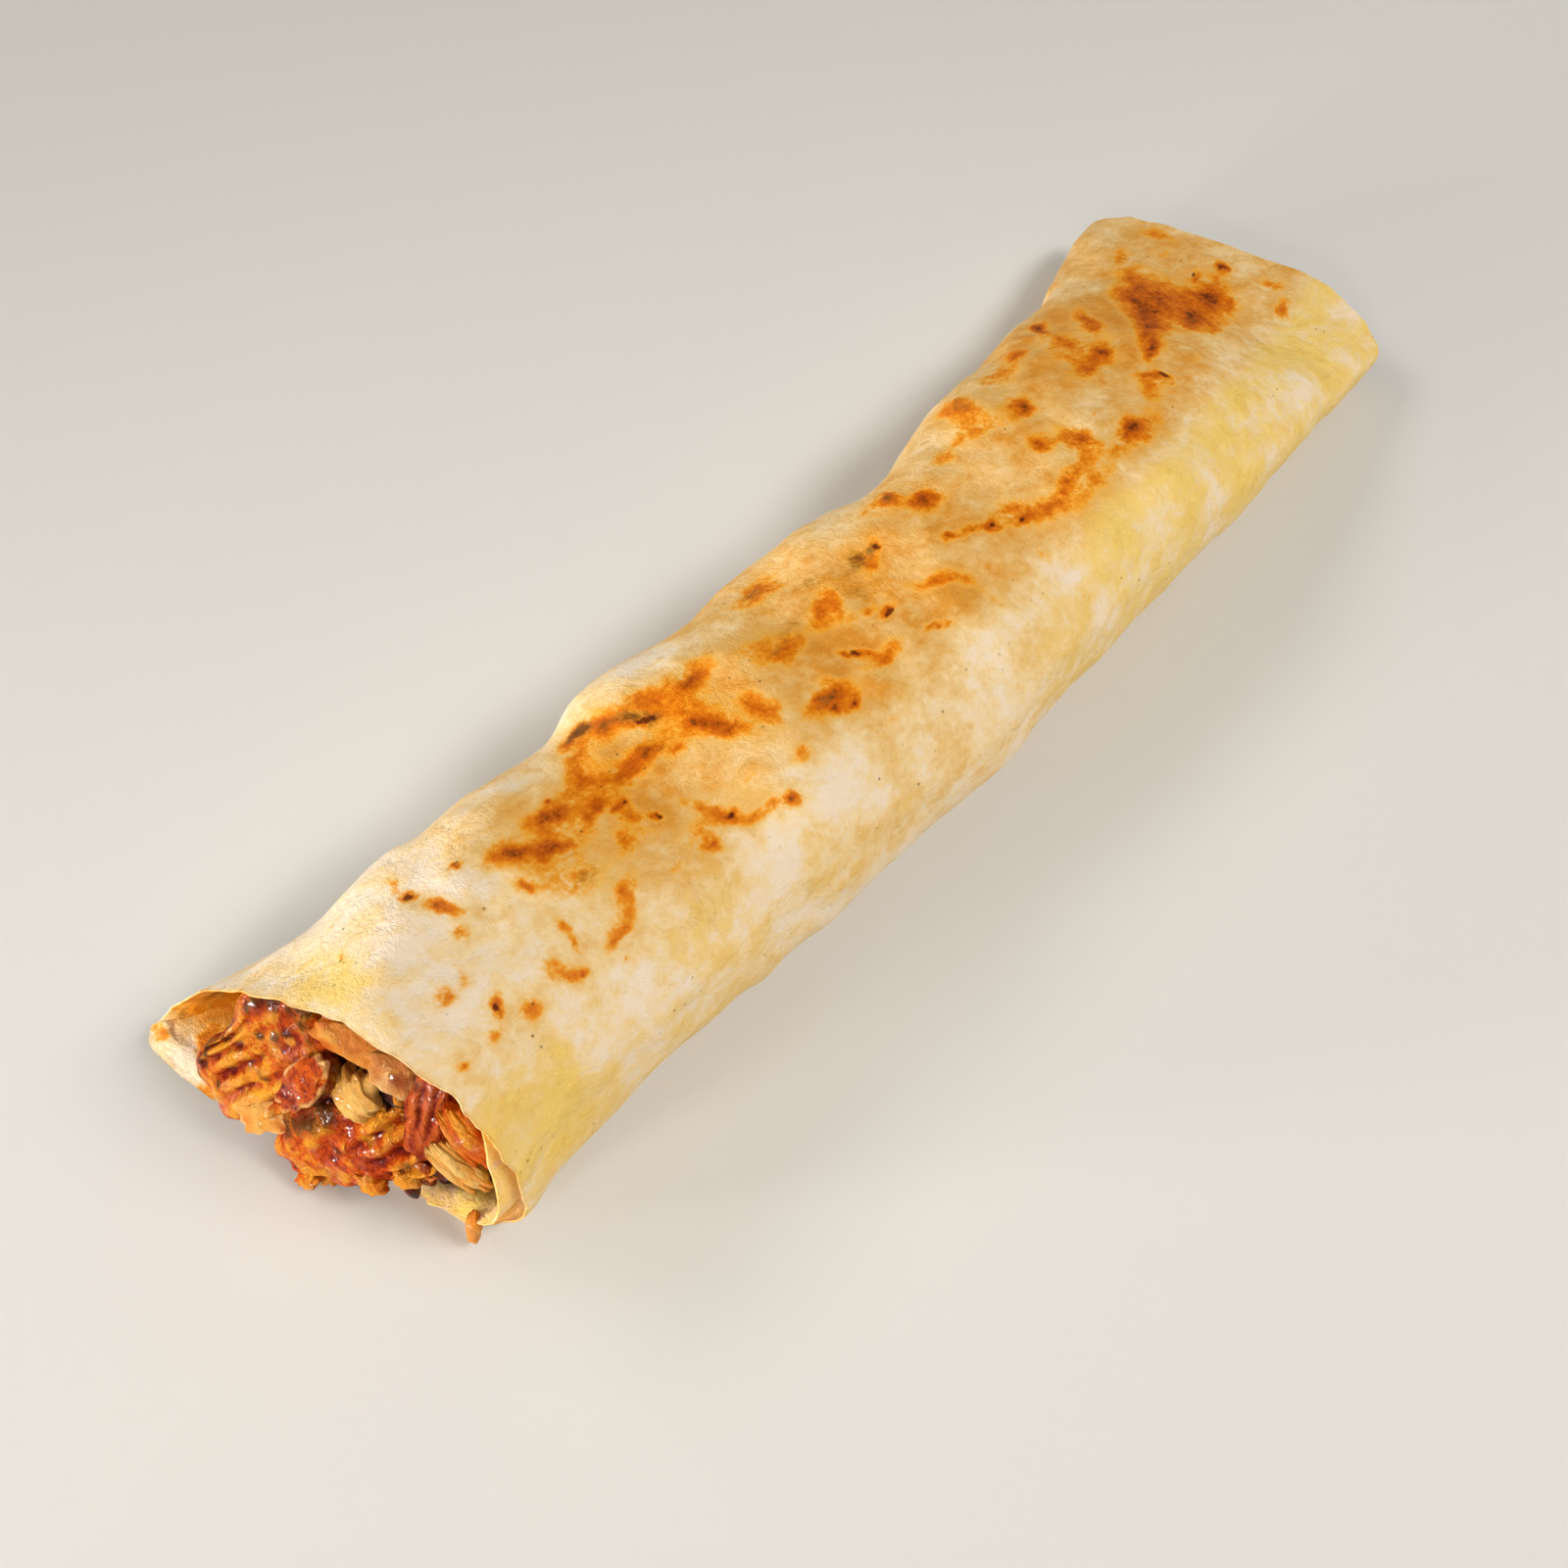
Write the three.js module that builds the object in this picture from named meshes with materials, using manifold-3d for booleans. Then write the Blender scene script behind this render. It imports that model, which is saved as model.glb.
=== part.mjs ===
// A doner wrap: a thin sheet of flatbread rolled one and a half turns round a heap of sauced,
// chopped chicken. The roll lies along X with its open mouth at -X and its pressed-flat end at +X.
// Millimetres, +Z up. Every curve below is worked out from the named sizes at the top.
import * as THREE from "three";
import { mergeVertices } from "three/addons/utils/BufferGeometryUtils.js";
import Module from "manifold-3d";

const wasm = await Module();
wasm.setup();

// ---- Driving sizes -------------------------------------------------------------------------

const SHEET = 1.3; // thickness of the flatbread
const LAYER_GAP = 0.8; // air between two turns of the roll
const CLEARANCE = 0.3; // gap kept between touching pieces
const TURNS = 1.5; // how far the sheet is rolled, from its outer end to its inner end
const FLOOR_PRESS = 2.2; // how much of the round underside is pressed flat

// The roll's outline by station: [distance along X, value]. Mouth at 0, pressed end at 300.
const RIGHT_SIDE = [
  [-24, -3.4], [0, -3.8], [10, -2.7], [20, -2.2], [36, -2.5], [50, -3.3], [66, -5.1], [84, -6.6],
  [103, -6.9], [125, -9.3], [150, -8.5], [200, -8], [225, -8], [250, -6.3], [275, -5], [300, -3.5],
];
const LEFT_SIDE = [
  [-26, 83], [-8, 72.5], [10, 62.8], [28, 58.3], [45, 57], [62, 54.3], [73, 57.3], [100, 56.4], [120, 57],
  [140, 55.8], [163, 52.3], [190, 58.6], [212, 61.5], [245, 67.3], [262, 73], [283, 79.6], [300, 84],
];
const HEIGHT = [
  [-24, 47], [0, 49], [30, 45], [62, 42], [82, 43], [120, 41], [163, 41], [200, 40], [230, 35], [260, 26.5],
  [285, 20], [300, 18],
];
const CROWN = [[-24, 27], [0, 26], [60, 26], [163, 22], [230, 27], [300, 40]]; // where the top is highest
const RIGHT_WAIST = [[-24, 20], [60, 20], [220, 19], [300, 8.5]]; // height of the widest point, right
const LEFT_WAIST = [[-24, 4], [0, 8], [40, 19], [220, 18], [300, 8.5]]; // and left
const RIGHT_FULLNESS = [[-24, 3.2], [40, 2.9], [300, 2.5]]; // 2 is an ellipse, more is boxier
const LEFT_FULLNESS = [[-24, 1.4], [0, 1.6], [40, 2.6], [300, 2.3]];

// Where the sheet's two cut edges lie, by turns from its outer end: [turn, X].
const NEAR_EDGE = [
  [0, -8.6], [0.03, -7.4], [0.09, -5], [0.16, -1.5], [0.25, 0], [0.4, -1.5], [0.5, -4.5], [0.62, -9.6],
  [0.72, -15], [0.8, -21], [0.84, -21.6], [0.875, -19.5], [0.91, -14], [0.97, -9.5], [1.08, -8], [1.2, -5],
  [1.35, 0], [1.5, 2],
];
const FAR_EDGE = [
  [0, 296], [0.2, 298], [0.3, 300.5], [0.4, 304], [0.48, 306.3], [0.55, 303.5], [0.68, 298.5], [0.8, 296],
  [1, 294], [1.25, 293], [1.5, 291],
];

// The inner turn starts where the sheet passes under itself, and lifts off the outer turn at the mouth.
const TUCK_START = 0.955;
const TUCK_END = 0.993;
const LIP_LIFT = 4.5;
const LIP_REACH = 13;

const MOUTH_POCKET = 12; // air between the filling and the bread's left wall at the mouth
const FACE_TILT = 0.36; // the filling's face leans back this much for each unit of height
const FACE_SKEW = -0.2; // and this much for each unit towards its left
const FILLING_END = 290;
const NO_LEAN = [0, 0];

// ---- Small helpers -------------------------------------------------------------------------

const smoothstep = (lo, hi, v) => {
  const t = Math.min(1, Math.max(0, (v - lo) / (hi - lo)));
  return t * t * (3 - 2 * t);
};

const bell = (v, centre, reach) => Math.exp(-(((v - centre) / reach) ** 2));

// A smooth curve through a table of [place, value] pairs, level past both ends.
function along(table, place) {
  const last = table.length - 1;
  if (place <= table[0][0]) return table[0][1];
  if (place >= table[last][0]) return table[last][1];
  const i = table.findIndex(([x]) => x > place) - 1;
  const slope = (k) => {
    const [a, b] = [Math.max(0, k - 1), Math.min(last, k + 1)];
    return (table[b][1] - table[a][1]) / (table[b][0] - table[a][0]);
  };
  const [[x0, y0], [x1, y1]] = [table[i], table[i + 1]];
  const span = x1 - x0;
  const t = (place - x0) / span;
  const h = t * t * (3 - 2 * t);
  return y0 + (y1 - y0) * h + span * t * (1 - t) * (slope(i) * (1 - t) - slope(i + 1) * t);
}

// A repeatable stream of numbers from 0 to 1.
function drawFrom(seed) {
  const [step, range] = [16807, 2147483647];
  let state = seed;
  return () => {
    state = (state * step) % range;
    return state / range;
  };
}

// ---- The roll's outer form -----------------------------------------------------------------

// Swells and hollows that the filling presses into the bread; none on the underside.
function relief(x, angle) {
  const clearOfFloor = smoothstep(0.5, -0.35, Math.cos(angle));
  const swell = Math.sin(x / 11.5 + 1.7 * Math.sin(angle + 0.5)) * Math.sin(2 * angle + x / 31);
  const knob = Math.sin(x / 6.3 - 2.4 * Math.cos(angle)) * Math.sin(3 * angle - x / 17);
  return clearOfFloor * (0.9 * swell + 0.45 * knob);
}

// A point on the roll, `depth` inside its skin. Angle 0 is under the roll, and it runs up the right.
function rollPoint(x, angle, depth) {
  const [s, c] = [Math.sin(angle), Math.cos(angle)];
  const onRight = s > 0;
  const crown = along(CROWN, x);
  const inset = depth - relief(x, angle);
  const reach = onRight ? crown - along(RIGHT_SIDE, x) : along(LEFT_SIDE, x) - crown;
  const power = 2 / along(onRight ? RIGHT_FULLNESS : LEFT_FULLNESS, x);
  const waist = along(onRight ? RIGHT_WAIST : LEFT_WAIST, x);
  const rise = c < 0 ? along(HEIGHT, x) - waist : waist + FLOOR_PRESS;
  const y = crown - Math.sign(s) * (reach - inset) * Math.abs(s) ** power;
  const z = waist - Math.sign(c) * (rise - inset) * Math.abs(c) ** power;
  return new THREE.Vector3(x, y, Math.max(z, depth));
}

// ---- Flatbread -----------------------------------------------------------------------------

// How far inside the roll's skin the sheet's outer face lies.
function sheetDepth(turn, x) {
  const tucked = smoothstep(TUCK_START, TUCK_END, turn) * (SHEET + LAYER_GAP);
  const lifted = bell(turn, 1.1, 0.08) * bell(x, -8, LIP_REACH) * LIP_LIFT;
  return tucked + (turn > 1 ? lifted * smoothstep(1, 1.04, turn) : 0);
}

// The rolled sheet as one closed shell. `grow` thickens it all round, to cut neighbours clear of it.
function rolledSheet(grow = 0) {
  const turns = 46;
  const steps = 30;
  const columns = turns + 1;
  const positions = [];
  for (const face of [0, 1]) {
    for (let i = 0; i <= steps; i++) {
      const even = i / steps;
      const share = even - 0.11 * Math.sin(2 * Math.PI * even); // closer together at both ends
      for (let j = 0; j <= turns; j++) {
        const turn = (j / turns) * TURNS;
        const near = along(NEAR_EDGE, turn) - grow;
        const far = along(FAR_EDGE, turn) + grow;
        const x = near + (far - near) * share;
        const endShift = j === 0 ? -grow : j === turns ? grow : 0;
        const depth = sheetDepth(turn, x) + (face ? SHEET + grow : -grow);
        const angle = turn * 2 * Math.PI + endShift / 22;
        positions.push(...rollPoint(x, angle, depth).toArray());
      }
    }
  }
  const inner = (steps + 1) * columns;
  const indices = [];
  const quad = (a, b, c, d) => indices.push(a, c, b, a, d, c);
  for (let i = 0; i < steps; i++) {
    for (let j = 0; j < turns; j++) {
      const a = i * columns + j;
      const b = a + columns;
      quad(a, a + 1, b + 1, b);
      quad(inner + a, inner + b, inner + b + 1, inner + a + 1);
    }
    for (const [j, turned] of [[0, false], [turns, true]]) {
      const a = i * columns + j;
      const b = a + columns;
      if (turned) quad(a, inner + a, inner + b, b);
      else quad(a, b, inner + b, inner + a);
    }
  }
  for (let j = 0; j < turns; j++) {
    const end = steps * columns + j;
    quad(j, inner + j, inner + j + 1, j + 1);
    quad(end, end + 1, inner + end + 1, inner + end);
  }
  return shell(positions, indices);
}

function shell(positions, indices) {
  const geometry = new THREE.BufferGeometry();
  geometry.setAttribute("position", new THREE.Float32BufferAttribute(positions, 3));
  geometry.setIndex(indices);
  return geometry;
}

// ---- Solids --------------------------------------------------------------------------------

function solidOf(geometry) {
  const bare = geometry.clone();
  bare.deleteAttribute("normal");
  bare.deleteAttribute("uv");
  const merged = mergeVertices(bare, 1e-4);
  return new wasm.Manifold(
    new wasm.Mesh({
      numProp: 3,
      vertProperties: new Float32Array(merged.attributes.position.array),
      triVerts: new Uint32Array(merged.index.array),
    }),
  );
}

function geometryOf(solid) {
  const mesh = solid.getMesh();
  return shell(Array.from(mesh.vertProperties), Array.from(mesh.triVerts));
}

// Booleans can leave scraps; the piece is the largest of what is left.
const largest = (solid) => solid.decompose().sort((a, b) => b.volume() - a.volume())[0];

// ---- Pieces of meat ------------------------------------------------------------------------

// A lump of food: a rounded block with a broken outline and, on its face, ridges across its width.
// `lie` is the way its length runs and `face` the way its broad side looks.
function lump(spec, grow = 0) {
  const { at, lie, face, size, seed, boxy = 3, crag = 0.08, detail = 3 } = spec;
  const { ridges = 0, ridgeDepth = 0, ridgeLean = 0 } = spec;
  const sphere = new THREE.IcosahedronGeometry(1, detail);
  const points = sphere.attributes.position;
  const half = new THREE.Vector3(...size).multiplyScalar(0.5).addScalar(grow);
  const z = new THREE.Vector3(...face).normalize();
  const x = new THREE.Vector3(...lie).addScaledVector(z, -z.dot(new THREE.Vector3(...lie))).normalize();
  const frame = new THREE.Matrix4().makeBasis(x, z.clone().cross(x), z).setPosition(...at);
  const p = new THREE.Vector3();
  for (let i = 0; i < points.count; i++) {
    p.fromBufferAttribute(points, i);
    const norm = (Math.abs(p.x) ** boxy + Math.abs(p.y) ** boxy + Math.abs(p.z) ** boxy) ** (1 / boxy);
    p.divideScalar(norm);
    const broken = 1 + crag * (Math.sin(5.1 * p.x + seed) * Math.sin(4.3 * p.y + 2.3 * seed)
      + 0.6 * Math.sin(9.7 * p.y - 7.9 * p.x + 1.7 * seed));
    const across = p.y * Math.cos(ridgeLean) - p.x * (half.x / half.y) * Math.sin(ridgeLean);
    const groove = ridgeDepth * Math.cos(Math.PI * ridges * across + 0.6 * Math.sin(2.2 * p.x + seed));
    const fade = smoothstep(1, 0.75, Math.max(Math.abs(p.x), Math.abs(p.y)));
    p.set(p.x * half.x * broken, p.y * half.y * broken, p.z * half.z + Math.sign(p.z) * groove * fade);
    points.setXYZ(i, ...p.applyMatrix4(frame).toArray());
  }
  return solidOf(sphere);
}

// The room a piece needs: its plain form without ridges, grown by the clearance.
function roomFor(spec) {
  const [long, wide, thick] = spec.size;
  const plain = { ...spec, ridgeDepth: 0, size: [long, wide, thick + 2 * (spec.ridgeDepth ?? 0)] };
  return lump(plain, 2 * CLEARANCE);
}

// The pieces that show in the mouth, those in front first. Each is cut clear of the ones before it.
const LEFT_FACE = [-0.9, -0.19, 0.39];
const RIGHT_FACE = [-0.86, -0.3, 0.42];
const PIECES = {
  meat_flake: {
    at: [-17.4, 43.2, 13.8], lie: [0.3, -0.8, 0.5], face: [-0.8, -0.3, 0.5],
    size: [10, 7, 3.2], crag: 0.1, seed: 5, detail: 2,
  },
  meat_leaf: {
    at: [-11.7, 33.9, 28.6], lie: [0.43, -0.42, 0.8], face: [-0.88, -0.03, 0.51],
    size: [17, 7, 2.4], boxy: 2.4, crag: 0.12, seed: 17,
  },
  meat_slab_left: {
    at: [-11.6, 45.9, 23.4], lie: [0.42, -0.58, 0.7], face: LEFT_FACE,
    size: [38, 25.5, 7], boxy: 2.4, ridges: 4.6, ridgeDepth: 1.1, crag: 0.05, seed: 3, detail: 5,
  },
  chicken_chunk: {
    at: [-6.4, 26.7, 26.9], lie: [0.2, 0.1, 0.97], face: RIGHT_FACE,
    size: [11, 9, 5], crag: 0.16, seed: 2,
  },
  meat_slab_right: {
    at: [-9.2, 26.9, 14.6], lie: [0.38, -0.81, 0.45], face: RIGHT_FACE,
    size: [36, 18.5, 8], boxy: 2.6, ridges: 2.8, ridgeDepth: 1, ridgeLean: 0.44, crag: 0.07, seed: 8,
    detail: 4,
  },
  chicken_slice: {
    at: [-2.4, 28.6, 36.6], lie: [0.15, -0.95, 0], face: [-0.7, -0.3, 0.65],
    size: [15, 7, 4], seed: 7,
  },
  onion_piece: {
    at: [-1.6, 20.6, 35], lie: [0.1, -0.9, 0.1], face: [-0.75, -0.3, 0.6],
    size: [9, 7, 5], crag: 0.1, seed: 9,
  },
  meat_strip_dark: {
    at: [-1.8, 13.4, 29], lie: [0.37, -0.03, 0.93], face: [-0.85, -0.4, 0.35],
    size: [21, 8.5, 5], ridges: 3, ridgeDepth: 0.5, seed: 11,
  },
  meat_shred_upper: {
    at: [-0.6, 5.8, 30.6], lie: [-0.2, 0.35, 0.9], face: [-0.85, -0.5, 0.2],
    size: [14, 5, 3.8], boxy: 2.4, seed: 13, detail: 2,
  },
  meat_shred_lower: {
    at: [-3.2, 7.2, 21.6], lie: [-0.3, 0.6, 0.7], face: [-0.8, -0.5, 0.3],
    size: [12, 5, 3.6], boxy: 2.4, seed: 4, detail: 2,
  },
  meat_shred_hanging: {
    at: [-6.4, 3.6, 6.4], lie: [-0.1, 0.05, -1], face: [-0.9, -0.3, 0.2],
    size: [10, 3, 2.6], boxy: 2.2, seed: 6, detail: 2,
  },
};

// ---- Filling -------------------------------------------------------------------------------

// The heap's skin: the roll's inside less a clearance, with a pocket on its left at the mouth.
function heapDepth(x, angle) {
  const bread = 2 * SHEET + LAYER_GAP + CLEARANCE + 0.4;
  const pocket = MOUTH_POCKET * bell(x, -14, 30) * smoothstep(0.25, 0.9, -Math.sin(angle));
  const lowerRight = smoothstep(0.1, 0.5, Math.sin(angle) * Math.cos(angle));
  const lip = (LIP_LIFT + 1) * bell(x, -8, LIP_REACH) * lowerRight;
  const crags = 0.9 * Math.max(0, Math.sin(x / 3.7 + 4 * angle)) * Math.max(0, Math.sin(x / 7 - 3 * angle));
  return bread + pocket + lip + crags;
}

// Stations along the heap: [X, share of the full section]. Both ends are rounded over.
const HEAP_STATIONS = [
  [-9, 0.3], [-8, 0.62], [-4, 0.87], [2, 1], [10, 1], [20, 1], [32, 1], [50, 1], [75, 1], [105, 1], [140, 1],
  [175, 1], [205, 1], [230, 1], [250, 1], [270, 1], [FILLING_END - 6, 0.97], [FILLING_END - 2, 0.88],
  [FILLING_END, 0.5],
];

function heapCore() {
  const around = 26;
  const positions = [];
  const indices = [];
  for (const [x, scale] of HEAP_STATIONS) {
    const middle = new THREE.Vector3(x, along(CROWN, x) + 4, along(HEIGHT, x) * 0.46);
    const leaning = smoothstep(25, -2, x);
    for (let j = 0; j < around; j++) {
      const angle = (j / around) * 2 * Math.PI;
      const p = rollPoint(x, angle, heapDepth(x, angle)).lerp(middle, 1 - scale);
      p.x += leaning * (FACE_TILT * (p.z - 20) + FACE_SKEW * (p.y - 28));
      positions.push(...p.toArray());
    }
  }
  const rows = HEAP_STATIONS.length;
  for (let i = 0; i < rows - 1; i++) {
    for (let j = 0; j < around; j++) {
      const [a, b] = [i * around + j, i * around + ((j + 1) % around)];
      indices.push(a, b + around, b, a, a + around, b + around);
    }
  }
  for (const [row, turned] of [[0, false], [rows - 1, true]]) {
    const ring = positions.slice(row * around * 3, (row + 1) * around * 3);
    const centre = [0, 1, 2].map((k) => ring.filter((_, i) => i % 3 === k).reduce((a, b) => a + b) / around);
    const hub = positions.length / 3;
    positions.push(...centre);
    for (let j = 0; j < around; j++) {
      const [a, b] = [row * around + j, row * around + ((j + 1) % around)];
      indices.push(...(turned ? [hub, b, a] : [hub, a, b]));
    }
  }
  return solidOf(shell(positions, indices));
}

// Shreds of meat to fuse on a face of the heap: `count` of them spread over a leaning oval.
function shreds({ count, centre, spread, lean, size, seed }) {
  const draw = drawFrom(seed);
  const made = [];
  for (let i = 0; i < count; i++) {
    const [ring, turn] = [Math.sqrt((i + 0.5) / count), i * 2.4];
    const [y, z] = [ring * Math.cos(turn) * spread[0], ring * Math.sin(turn) * spread[1]];
    made.push(lump({
      at: [centre[0] + lean[0] * z + lean[1] * y + 2 * draw(), centre[1] + y, centre[2] + z],
      lie: [draw() - 0.5, draw() - 0.5, draw() - 0.5],
      face: [-1, draw() - 0.5, draw()],
      size: [size * (0.8 + 0.5 * draw()), size * 0.5, size * 0.35],
      crag: 0.12, seed: seed + i, detail: 1,
    }));
  }
  return made;
}

function heap(breadGuard, showing) {
  const front = shreds({
    count: 9, centre: [-7, 27, 20], spread: [15, 10], lean: [FACE_TILT, FACE_SKEW], size: 11, seed: 41,
  });
  const back = shreds({
    count: 5, centre: [FILLING_END - 2, 40, 9.3], spread: [27, 1.5], lean: NO_LEAN, size: 9, seed: 77,
  });
  const whole = wasm.Manifold.union([heapCore(), ...front, ...back]);
  const cut = showing.reduce((solid, piece) => solid.subtract(piece), whole.subtract(breadGuard));
  return largest(cut);
}

// ---- The part ------------------------------------------------------------------------------

function material(colour, roughness) {
  return new THREE.MeshStandardMaterial({ color: colour, roughness, metalness: 0 });
}

const LOOKS = {
  flatbread: material(0xe6c68a, 0.75),
  filling: material(0xb5541c, 0.4),
  meat_slab_left: material(0xc4621c, 0.3),
  meat_slab_right: material(0xbf5420, 0.3),
  meat_flake: material(0xcf8050, 0.4),
  meat_leaf: material(0xc8581e, 0.35),
  chicken_chunk: material(0xecbd85, 0.45),
  chicken_slice: material(0xd9a267, 0.45),
  onion_piece: material(0xc98f6a, 0.3),
  meat_strip_dark: material(0x7a2415, 0.25),
  meat_shred_upper: material(0xd9751f, 0.35),
  meat_shred_lower: material(0xea9a38, 0.4),
  meat_shred_hanging: material(0xd8641c, 0.35),
};

function buildWrap() {
  const wrap = new THREE.Group();
  const add = (name, geometry) => {
    const mesh = new THREE.Mesh(geometry, LOOKS[name]);
    mesh.name = name;
    wrap.add(mesh);
  };
  add("flatbread", rolledSheet());
  const breadGuard = solidOf(rolledSheet(CLEARANCE));
  const settled = [];
  for (const [name, spec] of Object.entries(PIECES)) {
    const whole = lump(spec).subtract(breadGuard);
    const clear = settled.reduce((solid, guard) => solid.subtract(guard), whole);
    add(name, geometryOf(largest(clear)));
    settled.push(roomFor(spec));
  }
  add("filling", geometryOf(heap(breadGuard, settled)));

  // The origin is the middle of the box that holds the wrap, at the surface it lies on.
  const box = new THREE.Box3().setFromObject(wrap);
  const middle = box.getCenter(new THREE.Vector3());
  wrap.position.set(-middle.x, -middle.y, -box.min.z);
  return wrap;
}

export default buildWrap();
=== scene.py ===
"""The finish of a doner wrap: scorched flatbread rolled round sauced, ridged chicken."""

import math

import bpy
import numpy as np
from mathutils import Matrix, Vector


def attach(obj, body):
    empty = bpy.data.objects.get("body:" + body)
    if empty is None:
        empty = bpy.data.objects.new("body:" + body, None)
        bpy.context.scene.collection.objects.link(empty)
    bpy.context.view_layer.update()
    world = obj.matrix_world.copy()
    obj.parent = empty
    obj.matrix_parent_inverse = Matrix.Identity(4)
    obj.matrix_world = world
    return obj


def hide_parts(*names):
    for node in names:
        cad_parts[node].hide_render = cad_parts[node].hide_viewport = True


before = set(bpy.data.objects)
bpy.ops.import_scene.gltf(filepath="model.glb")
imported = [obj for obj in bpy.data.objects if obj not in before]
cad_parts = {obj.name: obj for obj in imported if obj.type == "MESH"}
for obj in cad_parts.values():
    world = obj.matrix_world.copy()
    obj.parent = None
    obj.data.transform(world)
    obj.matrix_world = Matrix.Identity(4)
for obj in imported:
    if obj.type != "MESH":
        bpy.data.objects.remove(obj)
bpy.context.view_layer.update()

# ---- Sizes, in millimetres from the mouth's lower right corner ------------------------------

MM = 0.001
FULL_TURN = 2 * math.pi
SMOOTH_BELOW = math.radians(60)
ROW_ORIGIN = np.array([142.3, 36.855, 0.0])  # the row's own origin, seen from that corner

SHEET = 1.3
LAYER_GAP = 0.8
TURNS = 1.5
FLOOR_PRESS = 2.2

# The roll's outline, by place along it: its two sides and its top, the line of its crown, how high its
# sides reach furthest out, and how square its section is. Then the sheet's cut edges, by turn.
RIGHT_SIDE = [
    (-24, -3.4), (0, -3.8), (10, -2.7), (20, -2.2), (36, -2.5), (50, -3.3), (66, -5.1), (84, -6.6),
    (103, -6.9), (125, -9.3), (150, -8.5), (200, -8), (225, -8), (250, -6.3), (275, -5), (300, -3.5),
]
LEFT_SIDE = [
    (-26, 83), (-8, 72.5), (10, 62.8), (28, 58.3), (45, 57), (62, 54.3), (73, 57.3), (100, 56.4),
    (120, 57), (140, 55.8), (163, 52.3), (190, 58.6), (212, 61.5), (245, 67.3), (262, 73), (283, 79.6),
    (300, 84),
]
HEIGHT = [
    (-24, 47), (0, 49), (30, 45), (62, 42), (82, 43), (120, 41), (163, 41), (200, 40), (230, 35),
    (260, 26.5), (285, 20), (300, 18),
]
CROWN = [(-24, 27), (0, 26), (60, 26), (163, 22), (230, 27), (300, 40)]
RIGHT_WAIST = [(-24, 20), (60, 20), (220, 19), (300, 8.5)]
LEFT_WAIST = [(-24, 4), (0, 8), (40, 19), (220, 18), (300, 8.5)]
RIGHT_FULLNESS = [(-24, 3.2), (40, 2.9), (300, 2.5)]
LEFT_FULLNESS = [(-24, 1.4), (0, 1.6), (40, 2.6), (300, 2.3)]
NEAR_EDGE = [
    (0, -8.6), (0.03, -7.4), (0.09, -5), (0.16, -1.5), (0.25, 0), (0.4, -1.5), (0.5, -4.5), (0.62, -9.6),
    (0.72, -15), (0.8, -21), (0.84, -21.6), (0.875, -19.5), (0.91, -14), (0.97, -9.5), (1.08, -8),
    (1.2, -5), (1.35, 0), (1.5, 2),
]
FAR_EDGE = [
    (0, 296), (0.2, 298), (0.3, 300.5), (0.4, 304), (0.48, 306.3), (0.55, 303.5), (0.68, 298.5),
    (0.8, 296), (1, 294), (1.25, 293), (1.5, 291),
]
TUCK_START, TUCK_END = 0.955, 0.993
LIP_LIFT, LIP_REACH = 4.5, 13
MOUTH_POCKET = 12
FILLING_START, FILLING_END = -9, 290
FLOOR_GAP = 0.6  # under whatever hangs out of the mouth

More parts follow.
